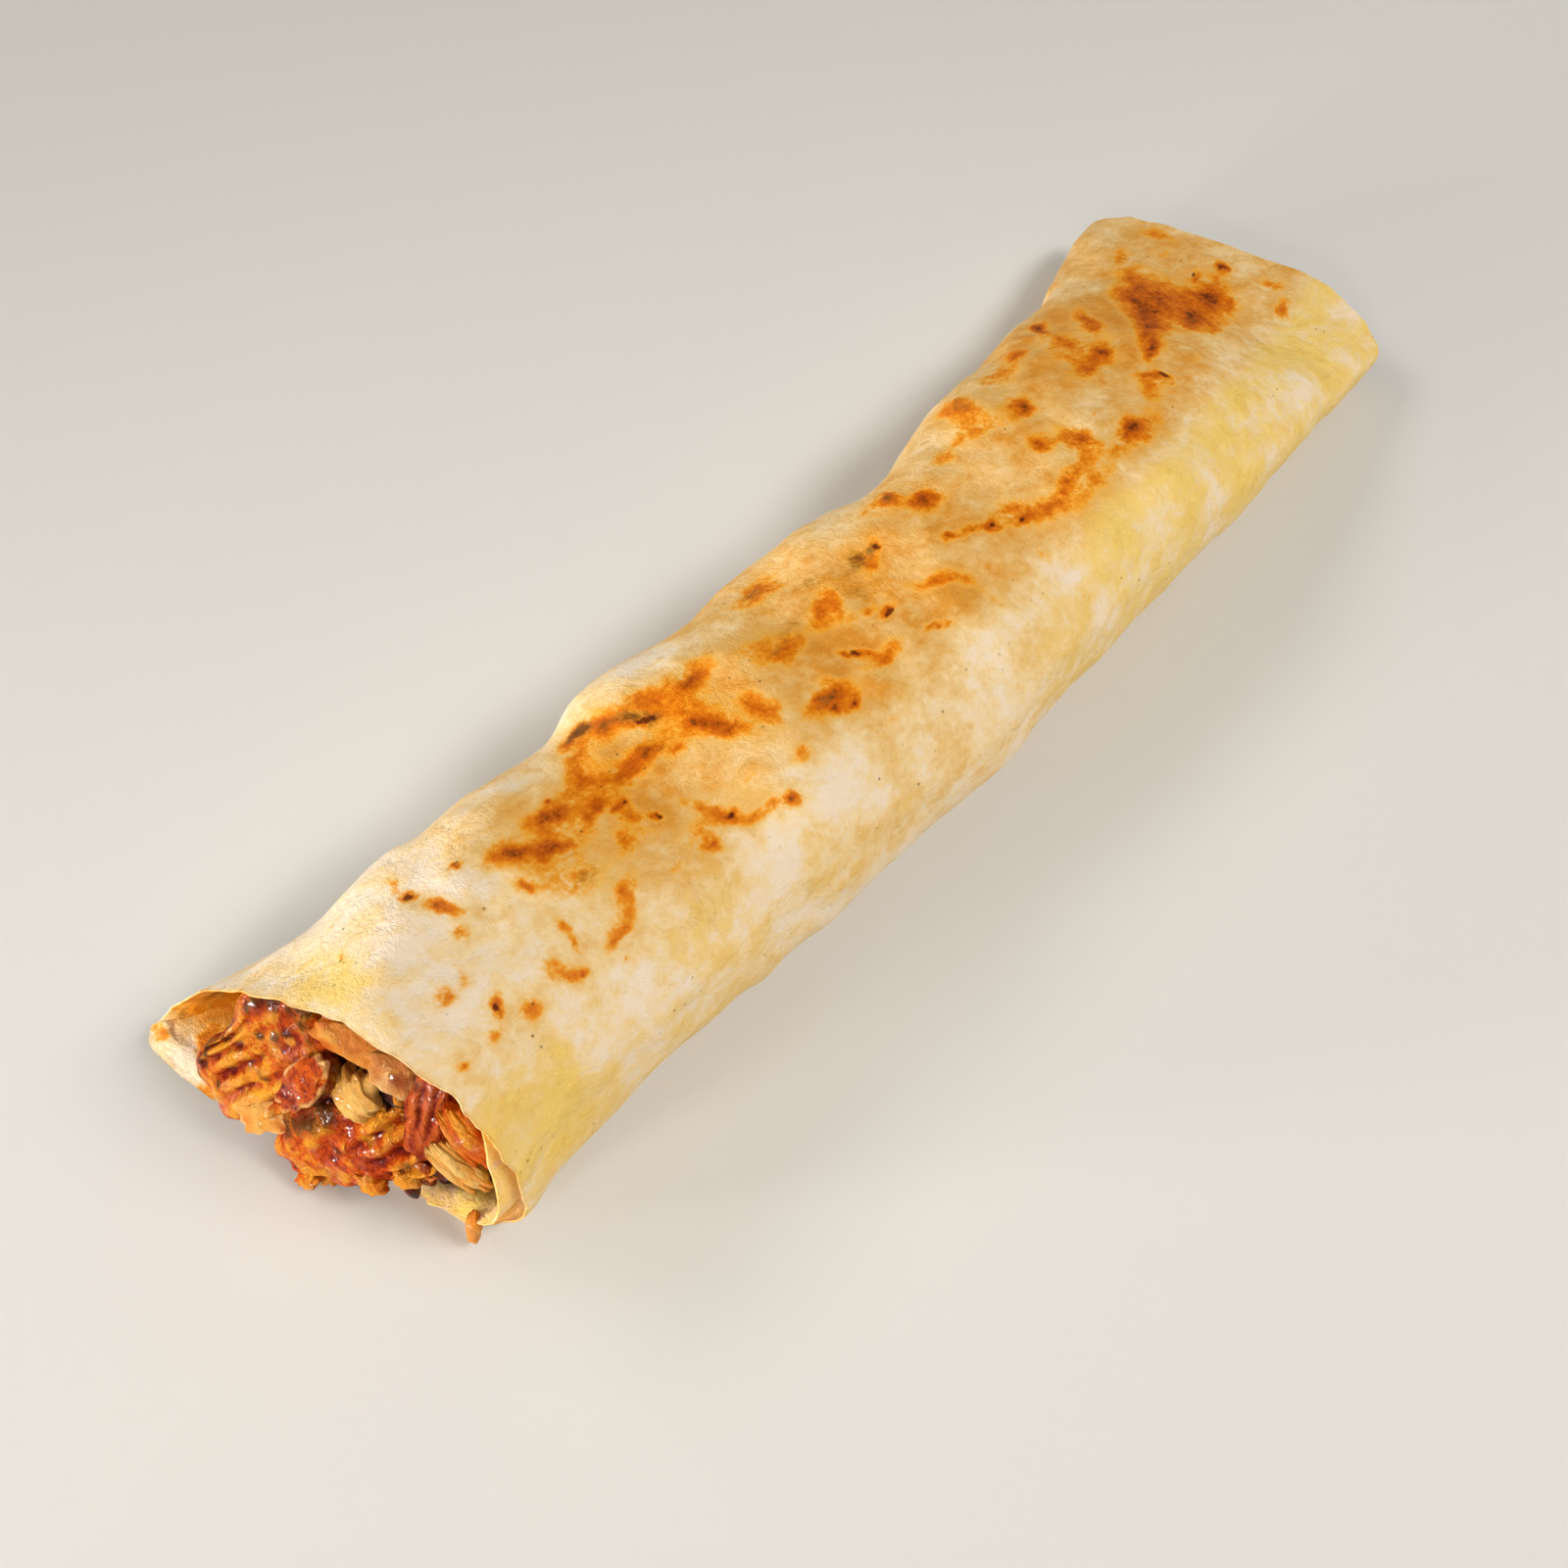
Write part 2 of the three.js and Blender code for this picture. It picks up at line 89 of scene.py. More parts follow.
# Where the griddle caught the bread: along the roll, across it from the crown, half length,
# half width, lean in degrees, strength.
SCORCHES = [
    (18.6, 11.5, 1.4, 1.2, 0, 0.9), (19.4, 17, 3.6, 1.1, 80, 0.45), (20.6, 4.6, 3.4, 1.1, 110, 0.75),
    (28.5, 10.6, 1.2, 0.9, 0, 0.95), (5, 11.3, 0.9, 0.6, 60, 0.8), (37, 5.5, 4.2, 2.4, 140, 0.72),
    (41.4, 1.2, 2.3, 2.0, 0, 1.0), (39, 1.5, 8, 6, 0, 0.24), (39, -7, 6.5, 4.2, 0, 0.32),
    (44.5, -14.4, 3.6, 1.7, 30, 0.5), (38, -18, 3.4, 1.6, 25, 0.52), (30.8, -14, 2.6, 0.7, 100, 0.5),
    (26.4, -18, 3.6, 1.7, 145, 0.66), (28.6, -19.8, 1.2, 0.9, 0, 0.75), (18, -18.4, 1.6, 1.4, 0, 0.62),
    (13.5, -15.1, 0.95, 1.1, 0, 1.25), (9.4, -8.2, 2.8, 2.1, 130, 0.46), (14, -7, 2.6, 0.9, 80, 0.34),
    (3.5, -19, 1.2, 1.2, 0, 0.45), (10.4, -18.2, 2.4, 1.4, 0, 0.36), (31.4, -1.6, 2.1, 0.9, 110, 0.6),
    (19, -2, 1.2, 0.8, 90, 0.5), (47.6, 6.4, 3.2, 1.6, 170, 0.78), (50, 4.5, 7, 4, 160, 0.42),
    (49, 9.6, 0.9, 0.7, 0, 0.85), (54, 2.8, 2.6, 1.4, 40, 0.66), (58, 0.2, 1.0, 0.8, 0, 1.0),
    (57.4, -3.6, 4.2, 1.2, 85, 0.62), (60, -7, 1.3, 0.8, 120, 0.95), (52.3, -7.2, 3.2, 2.3, 0, 0.62),
    (64.6, 19.6, 3.3, 2.0, 150, 1.15), (63.5, 5.4, 3.6, 1.7, 160, 0.95), (65, 4.6, 8, 3, 0, 0.5),
    (69.8, 4.2, 2, 1.4, 0, 0.85), (74, 10.6, 4.2, 1.1, 145, 1.15), (78, 13.6, 5, 3.6, 150, 0.62),
    (86.4, 12, 4.4, 2.8, 0, 0.82), (81, -2, 4.6, 1.9, 105, 0.66), (80, 2, 4.5, 3.5, 0, 0.48),
    (88.4, -4.6, 4.4, 3.0, 90, 0.68), (72, 0, 1.6, 1.2, 0, 0.66), (67.8, -12.4, 4.6, 1.9, 115, 0.66),
    (69, -15.2, 1.0, 0.9, 0, 1.1), (74.4, -19.4, 4.6, 1.2, 155, 0.66), (79, -20.6, 0.9, 0.7, 0, 1.0),
    (62.2, -17.6, 1.5, 1.4, 0, 0.74), (77, -12.2, 2, 1.3, 0, 0.35), (87.2, -16.2, 2.2, 1.4, 0, 0.42),
    (53, -17.4, 1.5, 1, 0, 0.34), (37, -23.6, 0.8, 0.7, 0, 0.55), (99.6, -10.2, 4.8, 1.7, 5, 0.95),
    (100, -12, 6, 3, 0, 0.42), (102.4, -14, 1.6, 0.6, 10, 0.9), (98, -13.2, 1.4, 0.6, 160, 0.9),
    (111.6, -5.8, 3.1, 0.75, 118, 1.2), (116, -10.6, 5, 1.8, 170, 0.5), (103.4, 3.6, 4, 2, 20, 0.58),
    (101, 7.4, 5, 4.5, 0, 0.42), (113.6, 21.8, 5, 3.4, 15, 0.68), (119, 6.4, 4, 2.2, 60, 0.52),
    (115, 4, 5, 3.5, 0, 0.36), (131.6, 8.2, 3.0, 2.0, 60, 0.68), (136.6, 9.4, 1.7, 1.2, 70, 0.9),
    (124.2, -4.4, 2.0, 1.1, 20, 0.92), (122, -0.6, 2.6, 1.3, 160, 0.55), (136, -4.9, 4.2, 1.9, 165, 0.6),
    (141, -9, 3.6, 2.0, 140, 0.5), (141.8, -16, 3.4, 1.2, 95, 0.42), (129.4, -13.8, 3.0, 0.9, 170, 0.74),
    (150.6, 17.6, 2.3, 1.8, 40, 1.0), (147.4, 17, 4, 2.6, 0, 0.5), (152.8, 11, 3.8, 2.2, 160, 0.86),
    (153, 8.6, 4.6, 3, 0, 0.5), (148.6, 0.4, 2, 1.0, 150, 0.75), (154.6, -2.8, 4.6, 1.2, 155, 0.72),
    (157.2, -3.7, 1.4, 1, 0, 0.95), (162.8, -7, 1.4, 1.1, 20, 1.1), (166, -6, 6.5, 3.4, 150, 0.58),
    (178, -9, 10, 2.1, 0, 0.62), (184, 3, 1.7, 1.5, 0, 1.0), (184, 3, 3.8, 3, 0, 0.42),
    (190.6, -3.2, 5, 3.4, 95, 0.66), (191.6, 13, 4.4, 2.8, 25, 0.82), (186, 25, 4.6, 3.4, 45, 0.66),
    (193, -11.8, 1.2, 0.9, 0, 0.95), (168, 17, 2.6, 1.5, 20, 0.42), (173, 17.6, 2, 1.2, 0, 0.36),
    (182.6, 14, 3, 2, 0, 0.36), (160, -16.4, 3, 1, 80, 0.3), (160.2, -29, 1.2, 0.8, 130, 0.45),
    (106, -22, 2.6, 1.2, 0, 0.28), (212, 24.4, 3, 2.4, 40, 0.7), (228.2, 26, 3.8, 2.2, 50, 1.0),
    (236, 17.4, 6.4, 2.8, 52, 0.8), (214.4, 7.6, 3.8, 2.2, 165, 0.68), (222.6, 9.6, 4.4, 2.0, 0, 0.72),
    (224.6, 7.4, 3.4, 2.2, 20, 0.66), (218, 9, 9, 3.6, 0, 0.4), (233, 0.8, 4.4, 1.6, 15, 0.86),
    (241, 4, 8, 3.3, 28, 0.8), (252, 8.4, 9, 4.4, 28, 0.66), (265, 14.6, 9, 4.4, 38, 0.66),
    (262, 5, 10, 5.6, 5, 0.58), (261, -0.8, 4.4, 2.4, 0, 0.98), (257, -2, 6, 2, 0, 0.6),
    (277, 1, 8, 4.6, 8, 0.74), (276, -1.2, 3, 1.6, 0, 0.6), (278, -7, 5.4, 2.4, 0, 0.62),
    (277.4, 25, 4.6, 2, 10, 0.52), (287.4, 17.8, 3.4, 1.6, 150, 0.36), (296, 21, 3, 4.8, 0, 0.44),
    (284, 7, 1.9, 0.9, 0, 0.9), (292.2, 2.4, 1.3, 1.1, 0, 0.9), (287, 1.4, 3.4, 2.2, 0, 0.46),
    (226, -7, 3.2, 1.2, 70, 0.86), (223, -4.6, 4.6, 2.4, 140, 0.56), (203.6, -11, 4.6, 1.8, 12, 0.8),
    (203, -11.4, 8, 3.4, 8, 0.56), (288.4, -17, 3.6, 2.0, 0, 0.54), (296.8, -12.2, 3.2, 2.2, 160, 0.56),
    (242, -18.6, 3.4, 1.2, 150, 0.26), (260, -8.4, 3.4, 1.2, 10, 0.42), (238, -11, 3, 1, 0, 0.3),
    (200.4, -1.6, 0.9, 0.7, 0, 0.6), (242.4, -37.4, 2, 0.9, 160, 0.3), (60, 13, 5, 3.4, 20, 0.5),
    (69, 17, 5, 3.4, 150, 0.62), (56, 9, 4.4, 2.2, 0, 0.5), (180, 18, 7, 4, 10, 0.42),
    (203, 24, 7, 4, 0, 0.45), (222, 17, 7, 5, 40, 0.46), (257, 14, 8, 4, 30, 0.58),
    (262, -5.4, 8, 3, 0, 0.5), (220, -7, 5, 3, 0, 0.44), (250, 7, 11, 5, 24, 0.34),
    (268, 10, 10, 6, 30, 0.34), (272, -1, 11, 4.6, 5, 0.34), (62, -14.5, 5, 3, 20, 0.34),
    (182, -13.6, 8, 2.4, 0, 0.42), (80, 6, 6, 4, 0, 0.36),
]

# Where the dark filling shows through the bread, in the same terms.
SMUDGES = [
    (65.5, 20, 3.6, 2.4, 160, 1.2), (73, 13, 4.5, 1.5, 130, 1.0), (75, 9.6, 3, 1.8, 0, 0.8),
    (41, -7.5, 4, 2, 0, 0.7), (78, -9, 3, 2, 150, 0.7), (102, 4.5, 4, 1.6, 10, 0.6),
    (113, 22, 5, 2.4, 15, 0.75), (99, -10.5, 4, 1.6, 10, 0.6), (122, 14, 3, 2.6, 0, 0.6),
    (131, 10, 4, 3, 30, 0.85), (136, 10, 2, 1.6, 0, 0.95), (126, 3, 5, 3, 150, 0.6),
    (150.6, 18, 3, 2, 40, 0.7), (130, -14, 3, 1.2, 170, 0.6), (69, 4, 3, 5, 0, 0.45),
    (186, 25, 5, 2.6, 45, 0.6), (290, 3, 3, 2, 0, 0.6), (110, 8, 7, 4, 0, 0.55),
    (197, -1, 3, 1.5, 0, 0.4),
]

# ---- Small helpers --------------------------------------------------------------------------


def smoothstep(low, high, value):
    t = np.clip((value - low) / (high - low), 0, 1)
    return t * t * (3 - 2 * t)


def bell(value, centre, reach):
    return np.exp(-(((value - centre) / reach) ** 2))


def along(pairs, place):
    """A smooth curve through (place, value) pairs, level past both ends."""
    places, values = np.array(pairs, float).T
    place = np.clip(place, places[0], places[-1])
    i = np.clip(np.searchsorted(places, place, side="right") - 1, 0, len(places) - 2)
    k = np.arange(len(places))
    before, after = np.maximum(k - 1, 0), np.minimum(k + 1, len(places) - 1)
    slope = (values[after] - values[before]) / (places[after] - places[before])
    span = places[i + 1] - places[i]
    t = (place - places[i]) / span
    rise = t * t * (3 - 2 * t)
    lean = span * t * (1 - t) * (slope[i] * (1 - t) - slope[i + 1] * t)
    return values[i] + (values[i + 1] - values[i]) * rise + lean


# Large odd numbers that stir a cell's place and a seed into evenly spread values.
CELL_STIR, SEED_STIR, LAST_STIR = (374761393, 668265263, 362437), 97711, 1274126177
WORD, HALF_WORD = 0xFFFFFFFF, 0xFFFF
LAYER_SEEDS = 31


def scatter(cell, seed):
    """A repeatable value from -1 to 1 for each whole-numbered cell."""
    n = ((cell * np.array(CELL_STIR)).sum(axis=-1) + seed * SEED_STIR) & WORD
    n = ((n ^ (n >> 13)) * LAST_STIR) & WORD
    return ((n ^ (n >> 16)) & HALF_WORD) / (HALF_WORD / 2) - 1


def rumple(points, size, seed=0):
    """Soft unevenness from -1 to 1, with lumps about `size` across."""
    p = np.asarray(points, float) / size
    base = np.floor(p).astype(np.int64)
    t = p - base
    t = t * t * (3 - 2 * t)
    total = np.zeros(p.shape[:-1])
    for corner in range(8):
        step = np.array([corner & 1, corner >> 1 & 1, corner >> 2 & 1])
        weight = np.prod(np.where(step, t, 1 - t), axis=-1)
        total += weight * scatter(base + step, seed)
    return total


def crumple(points, size, seed=0, layers=3, fade=2.0):
    """Rumples on rumples, each half the size and `fade` times weaker."""
    return sum(rumple(points, size / 2**k, seed + LAYER_SEEDS * k) / fade**k for k in range(layers))


def points_of(obj):
    flat = np.empty(len(obj.data.vertices) * 3)
    obj.data.vertices.foreach_get("co", flat)
    return flat.reshape(-1, 3)


def shape_to(obj, points_mm):
    """Moves every point of the mesh to a place given in millimetres from the mouth's corner."""
    obj.data.vertices.foreach_set("co", ((points_mm - ROW_ORIGIN) * MM).ravel())
    obj.data.update()


def paint(obj, **painted):
    """Gives every point of the mesh these values, by name, for its material to read."""
    for name, values in painted.items():
        layer = obj.data.attributes.new(name, "FLOAT", "POINT")
        layer.data.foreach_set("value", np.asarray(values, dtype=np.float32).ravel())


def named(name):
    obj = bpy.context.object
    obj.name = obj.data.name = name
    return obj


def settle(obj, node):
    """The piece rides on the wrap and stands for the solid of that name."""
    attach(obj, "root")
    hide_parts(node)


def finish_with(obj, material):
    obj.data.materials.append(material)
    bpy.ops.object.select_all(action="DESELECT")
    obj.select_set(True)
    bpy.context.view_layer.objects.active = obj
    bpy.ops.object.shade_smooth_by_angle(angle=SMOOTH_BELOW, keep_sharp_edges=False)


# ---- The roll's form ------------------------------------------------------------------------


def relief(x, angle):
    """Swells and hollows that the filling presses into the bread; none on the underside."""
    clear_of_floor = smoothstep(0.5, -0.35, np.cos(angle))
    swell = np.sin(x / 11.5 + 1.7 * np.sin(angle + 0.5)) * np.sin(2 * angle + x / 31)
    knob = np.sin(x / 6.3 - 2.4 * np.cos(angle)) * np.sin(3 * angle - x / 17)
    return clear_of_floor * (0.9 * swell + 0.45 * knob)


def side_of_roll(x, right, depth):
    """Crown, reach, fullness and waist of the roll's section, on its right or its left side."""
    crown = along(CROWN, x)
    reach = np.where(right, crown - along(RIGHT_SIDE, x), along(LEFT_SIDE, x) - crown) - depth
    fullness = np.where(right, along(RIGHT_FULLNESS, x), along(LEFT_FULLNESS, x))
    waist = np.where(right, along(RIGHT_WAIST, x), along(LEFT_WAIST, x))
    return crown, reach, fullness, waist


def rise_from(waist, x, below, depth):
    """How far the roll's skin lies from its waist, upwards or downwards."""
    return np.where(below, waist + FLOOR_PRESS, along(HEIGHT, x) - waist) - depth


def roll_point(x, angle, depth):
    """Points on the roll, `depth` inside its skin. Angle 0 is under it, and it runs up the right."""
    s, c = np.sin(angle), np.cos(angle)
    inset = depth - relief(x, angle)
    crown, reach, fullness, waist = side_of_roll(x, s > 0, inset)
    rise = rise_from(waist, x, c > 0, inset)
    y = crown - np.sign(s) * reach * np.abs(s) ** (2 / fullness)
    z = waist - np.sign(c) * rise * np.abs(c) ** (2 / fullness)
    return np.stack([x, y, z], axis=-1)


def keep_inside(points, depth):
    """Draws points in so that they stay `depth` inside the roll's skin, wherever bread covers them."""
    x, y, z = points.T
    right = y < along(CROWN, x)
    crown, reach, fullness, waist = side_of_roll(x, right, depth)
    above = z > waist
    a = np.abs(y - crown) / reach
    b = np.abs(z - waist) / rise_from(waist, x, ~above, depth)
    out = (a**fullness + b**fullness) ** (1 / fullness)
    sine = np.where(right, 1, -1) * a ** (fullness / 2)
    cosine = np.where(above, -1, 1) * b ** (fullness / 2)
    turn = (np.arctan2(sine, cosine) / FULL_TURN) % 1
    covered = smoothstep(-3, 1, x - along(NEAR_EDGE, turn))
    pull = 1 + (np.where(out > 1, 1 / np.maximum(out, 1e-6), 1) - 1) * covered
    inside = np.stack([x, crown + (y - crown) * pull, waist + (z - waist) * pull], axis=-1)
    inside[:, 2] = np.maximum(inside[:, 2], np.where(covered > 0.5, depth, FLOOR_GAP))
    return inside


# ---- Finishes -------------------------------------------------------------------------------


def tint(red, green, blue):
    """A colour as the eye reads it, from 0 to 255, turned to a shader's values."""
    share = np.clip(np.array([red, green, blue]) / 255, 0, 1)
    linear = np.where(share <= 0.04045, share / 12.92, ((share + 0.055) / 1.055) ** 2.4)
    return (*linear.tolist(), 1.0)


class Finish:
    """A material's nodes, added by name."""

    def __init__(self, name):
        self.material = bpy.data.materials.new(name)
        self.material.use_nodes = True
        self.nodes = self.material.node_tree.nodes
        self.links = self.material.node_tree.links
        self.shader = self.nodes["Principled BSDF"]
        self.place = self.add("TexCoord").outputs["Object"]

    def put(self, socket, value):
        if isinstance(value, bpy.types.NodeSocket):
            self.links.new(value, socket)
        else:
            socket.default_value = value

    def fill(self, node, values):
        """Sets or links a node's sockets by name, with _ for a space."""
        for name, value in values.items():
            self.put(node.inputs[name.replace("_", " ")], value)

    def set(self, **values):
        self.fill(self.shader, values)

    def add(self, kind, **values):
        node = self.nodes.new("ShaderNode" + kind)
        self.fill(node, values)
        return node

    def painted(self, name):
        node = self.add("Attribute")
        node.attribute_name = name
        return node.outputs["Fac"]

    def stretched(self, scale, turned):
        return self.add("Mapping", Vector=self.place, Rotation=turned, Scale=scale).outputs["Vector"]

    def grain(self, size_mm, detail=3, rough=0.55, twist=0.0, place=None):
        """Cloudy noise about zero, from -0.5 to 0.5, whose clouds are about size_mm across."""
        node = self.add("TexNoise", Vector=place or self.place, Scale=1000 / size_mm, Detail=detail,
                        Roughness=rough, Distortion=twist)
        return self.sum("SUBTRACT", node.outputs["Fac"], 0.5)

    def spots(self, size_mm, low, high):
        """1 at the heart of a cell, 0 away from it."""
        node = self.add("TexVoronoi", Vector=self.place, Scale=1000 / size_mm)
        return self.step(node.outputs["Distance"], high, low)

    def sum(self, kind, a, b=0.0, c=0.0):
        node = self.add("Math")
        node.operation = kind
        for socket, value in zip(node.inputs, (a, b, c)):
            self.put(socket, value)
        return node.outputs[0]

    def mixed(self, first, *parts):
        """first + share * value for each part."""
        for share, value in parts:
            first = self.sum("MULTIPLY_ADD", value, share, first)
        return first

    def step(self, value, low, high):
        """0 at low, 1 at high, smooth between."""
        start, end = (0, 1) if low < high else (1, 0)
        node = self.add("MapRange", Value=value, From_Min=min(low, high), From_Max=max(low, high),
                        To_Min=start, To_Max=end)
        node.interpolation_type = "SMOOTHSTEP"
        return node.outputs["Result"]

    def times(self, a, b):
        return self.sum("MULTIPLY", a, b)

    def blend(self, share, a, b, how="MIX"):
        node = self.add("Mix")
        node.data_type = "RGBA"
        node.blend_type = how
        for socket, value in zip((node.inputs[0], node.inputs[6], node.inputs[7]), (share, a, b)):
            self.put(socket, value)
        return node.outputs[2]

    def bands(self, value, *stops):
        """Colour stops: (place, colour), smooth between."""
        node = self.add("ValToRGB", Fac=value)
        ramp = node.color_ramp
        while len(ramp.elements) < len(stops):
            ramp.elements.new(0.5)
        for element, (place, colour) in zip(ramp.elements, stops):
            element.position = place
            element.color = tint(*colour)
        return node.outputs["Color"]

    def dents(self, height, depth_mm, under=None):
        below = {} if under is None else {"Normal": under}
        return self.add("Bump", Distance=depth_mm * MM, Height=height, **below).outputs["Normal"]

    def soft_within(self, weight, radius, scale_mm):
        self.set(Subsurface_Weight=weight, Subsurface_Radius=radius, Subsurface_Scale=scale_mm * MM)


def baked_bread():
    f = Finish("baked_flatbread")
    clouds = f.grain(20, 4, 0.6, 0.2)
    mottle = f.grain(6.5, 5, 0.68, 0.25)
    flecks = f.grain(2.6, 5, 0.7, 0.25)
    fine = f.grain(1.1, 4, 0.66)

    # The bread: floury cream where it is pale, golden where the griddle warmed it.
    toast = f.mixed(f.painted("tan"), (1.1, clouds), (1.0, mottle), (0.6, flecks))
    skin = f.bands(toast, (0.0, (239, 219, 192)), (0.22, (238, 207, 152)), (0.50, (227, 178, 102)),
                   (0.75, (220, 149, 52)), (1.0, (208, 120, 16)))

    # Oil come through from within: clear yellow.
    oiled = f.step(f.mixed(f.painted("oil"), (1.6, clouds), (0.7, mottle), (0.3, flecks)), 0.16, 0.85)
    yellow = f.bands(f.sum("ADD", flecks, 0.5), (0.3, (232, 184, 66)), (0.7, (245, 216, 118)))
    skin = f.blend(f.times(oiled, 0.8), skin, yellow)

    # Fine wrinkles, a shade darker than the rest.
    thin_line = f.step(f.sum("ABSOLUTE", f.grain(7.5, 4, 0.6, 1.0)), 0.02, 0.0)
    line = f.times(thin_line, f.step(clouds, 0.0, 0.15))
    skin = f.blend(f.times(line, 0.10), skin, tint(176, 122, 66))

    # Scorch marks: golden, then orange, brown and nearly black at the heart, broken by blisters.
    mark_here = f.painted("scorch")
    loose = f.step(mark_here, 0.0, 0.45)
    ragged = f.mixed(0.0, (1.0, mottle), (0.9, flecks), (0.6, fine))
    burnt = f.sum("MULTIPLY_ADD", ragged, loose, mark_here)
    hue = f.bands(burnt, (0.10, (240, 194, 110)), (0.26, (237, 166, 52)), (0.42, (226, 133, 12)),
                  (0.60, (209, 104, 0)), (0.80, (178, 78, 0)), (1.0, (98, 38, 2)))
    skin = f.blend(f.times(f.step(burnt, 0.03, 0.36), 0.96), skin, hue)

    # The dark filling shows through as brown smudges, and small round dots are charred.
    smudge = f.step(f.mixed(f.painted("show"), (1.2, mottle), (0.9, flecks)), 0.35, 1.0)
    skin = f.blend(f.times(smudge, 0.8), skin, f.bands(smudge, (0.3, (168, 126, 52)), (0.9, (84, 60, 24))))
    char = f.step(f.mixed(f.painted("dot"), (0.25, fine)), 0.5, 0.72)
    skin = f.blend(f.times(char, 0.85), skin, tint(84, 28, 6))

    # Pepper-fine dark specks, here and there.
    specks = f.times(f.spots(3.2, 0.05, 0.12), f.step(f.grain(11, 2), 0.0, 0.12))
    skin = f.blend(f.times(specks, 0.75), skin, tint(104, 64, 28))

    # Sauce soaked into the inner side and the cut edge.
    wet = f.step(f.mixed(f.painted("soak"), (0.9, mottle), (0.5, flecks)), 0.2, 0.9)
    # More soak gives a lighter yellow sauce: partly its colour, and on the shaded inner turn painted light.
    sauce_tone_and_light = f.mixed(0.45, (0.38, f.painted("soak")), (1.1, flecks), (0.8, mottle))
    sauce = f.bands(sauce_tone_and_light, (0.12, (218, 96, 4)), (0.40, (244, 158, 34)), (0.72, (252, 206, 98)))
    skin = f.blend(f.times(wet, 0.92), skin, sauce)
    # Brown at the lip's fold and along the cut edge: painted shade of the fold, and on the cut edge partly
    # its browned colour and partly painted shade.
    crease_shade = f.step(f.mixed(f.painted("crease"), (0.8, flecks)), 0.3, 0.85)
    skin = f.blend(f.times(crease_shade, 0.85), skin, tint(146, 76, 20))

    rough = f.mixed(0.58, (0.25, fine), (-0.22, oiled), (-0.30, wet))
    bumps = f.dents(mottle, 0.9)
    bumps = f.dents(f.mixed(flecks, (-0.15, line)), 0.36, bumps)
    drawn_out = f.stretched((1.0, 0.6, 1.0), (0, 0, 0.5))
    bumps = f.dents(f.grain(1.5, 4, 0.7, 0.3, drawn_out), 0.16, bumps)
    bumps = f.dents(fine, 0.14, bumps)
    f.set(Base_Color=skin, Roughness=rough, Normal=bumps, Specular_IOR_Level=0.08)
    f.soft_within(0.1, (1.0, 0.6, 0.3), 1.2)
    return f.material


# What the studio's light adds to the meat's colours is taken off beforehand.
MEAT_SHADE = 0.81

# Each kind of meat: its colours in the valleys, between, on the ridges, where it is golden and where it
# is dark, partly sauce stain and partly painted shade, and how wet and how coarse it is.
MEATS = {
    "grilled_chicken": dict(low=(150, 28, 0), flesh=(224, 90, 2), high=(255, 168, 38)),
    "sauced_chicken": dict(low=(150, 26, 0), flesh=(226, 84, 2), high=(255, 160, 36), gold=(255, 166, 38)),
    "sauced_chopped_meat": dict(low=(52, 8, 0), flesh=(120, 32, 2), high=(190, 82, 12)),
    "pale_chicken": dict(
        low=(222, 124, 36), flesh=(240, 164, 68), high=(246, 196, 112), gold=(252, 204, 108),
        stain_and_shade=(206, 96, 24), wet=0.6, coarse=0.45),
    "dark_sauced_meat": dict(
        low=(100, 16, 0), flesh=(164, 46, 6), high=(208, 92, 26), gold=(216, 100, 24), stain_and_shade=(72, 12, 0),
        coarse=0.8),
    "soft_onion": dict(
        low=(200, 104, 30), flesh=(224, 150, 78), high=(240, 194, 132), gold=(236, 156, 56),
        stain_and_shade=(150, 54, 8), coarse=0.5),
    "orange_chicken": dict(
        low=(190, 54, 0), flesh=(230, 98, 4), high=(250, 160, 44), gold=(250, 162, 42), stain_and_shade=(180, 50, 2),
        coarse=0.7),
}


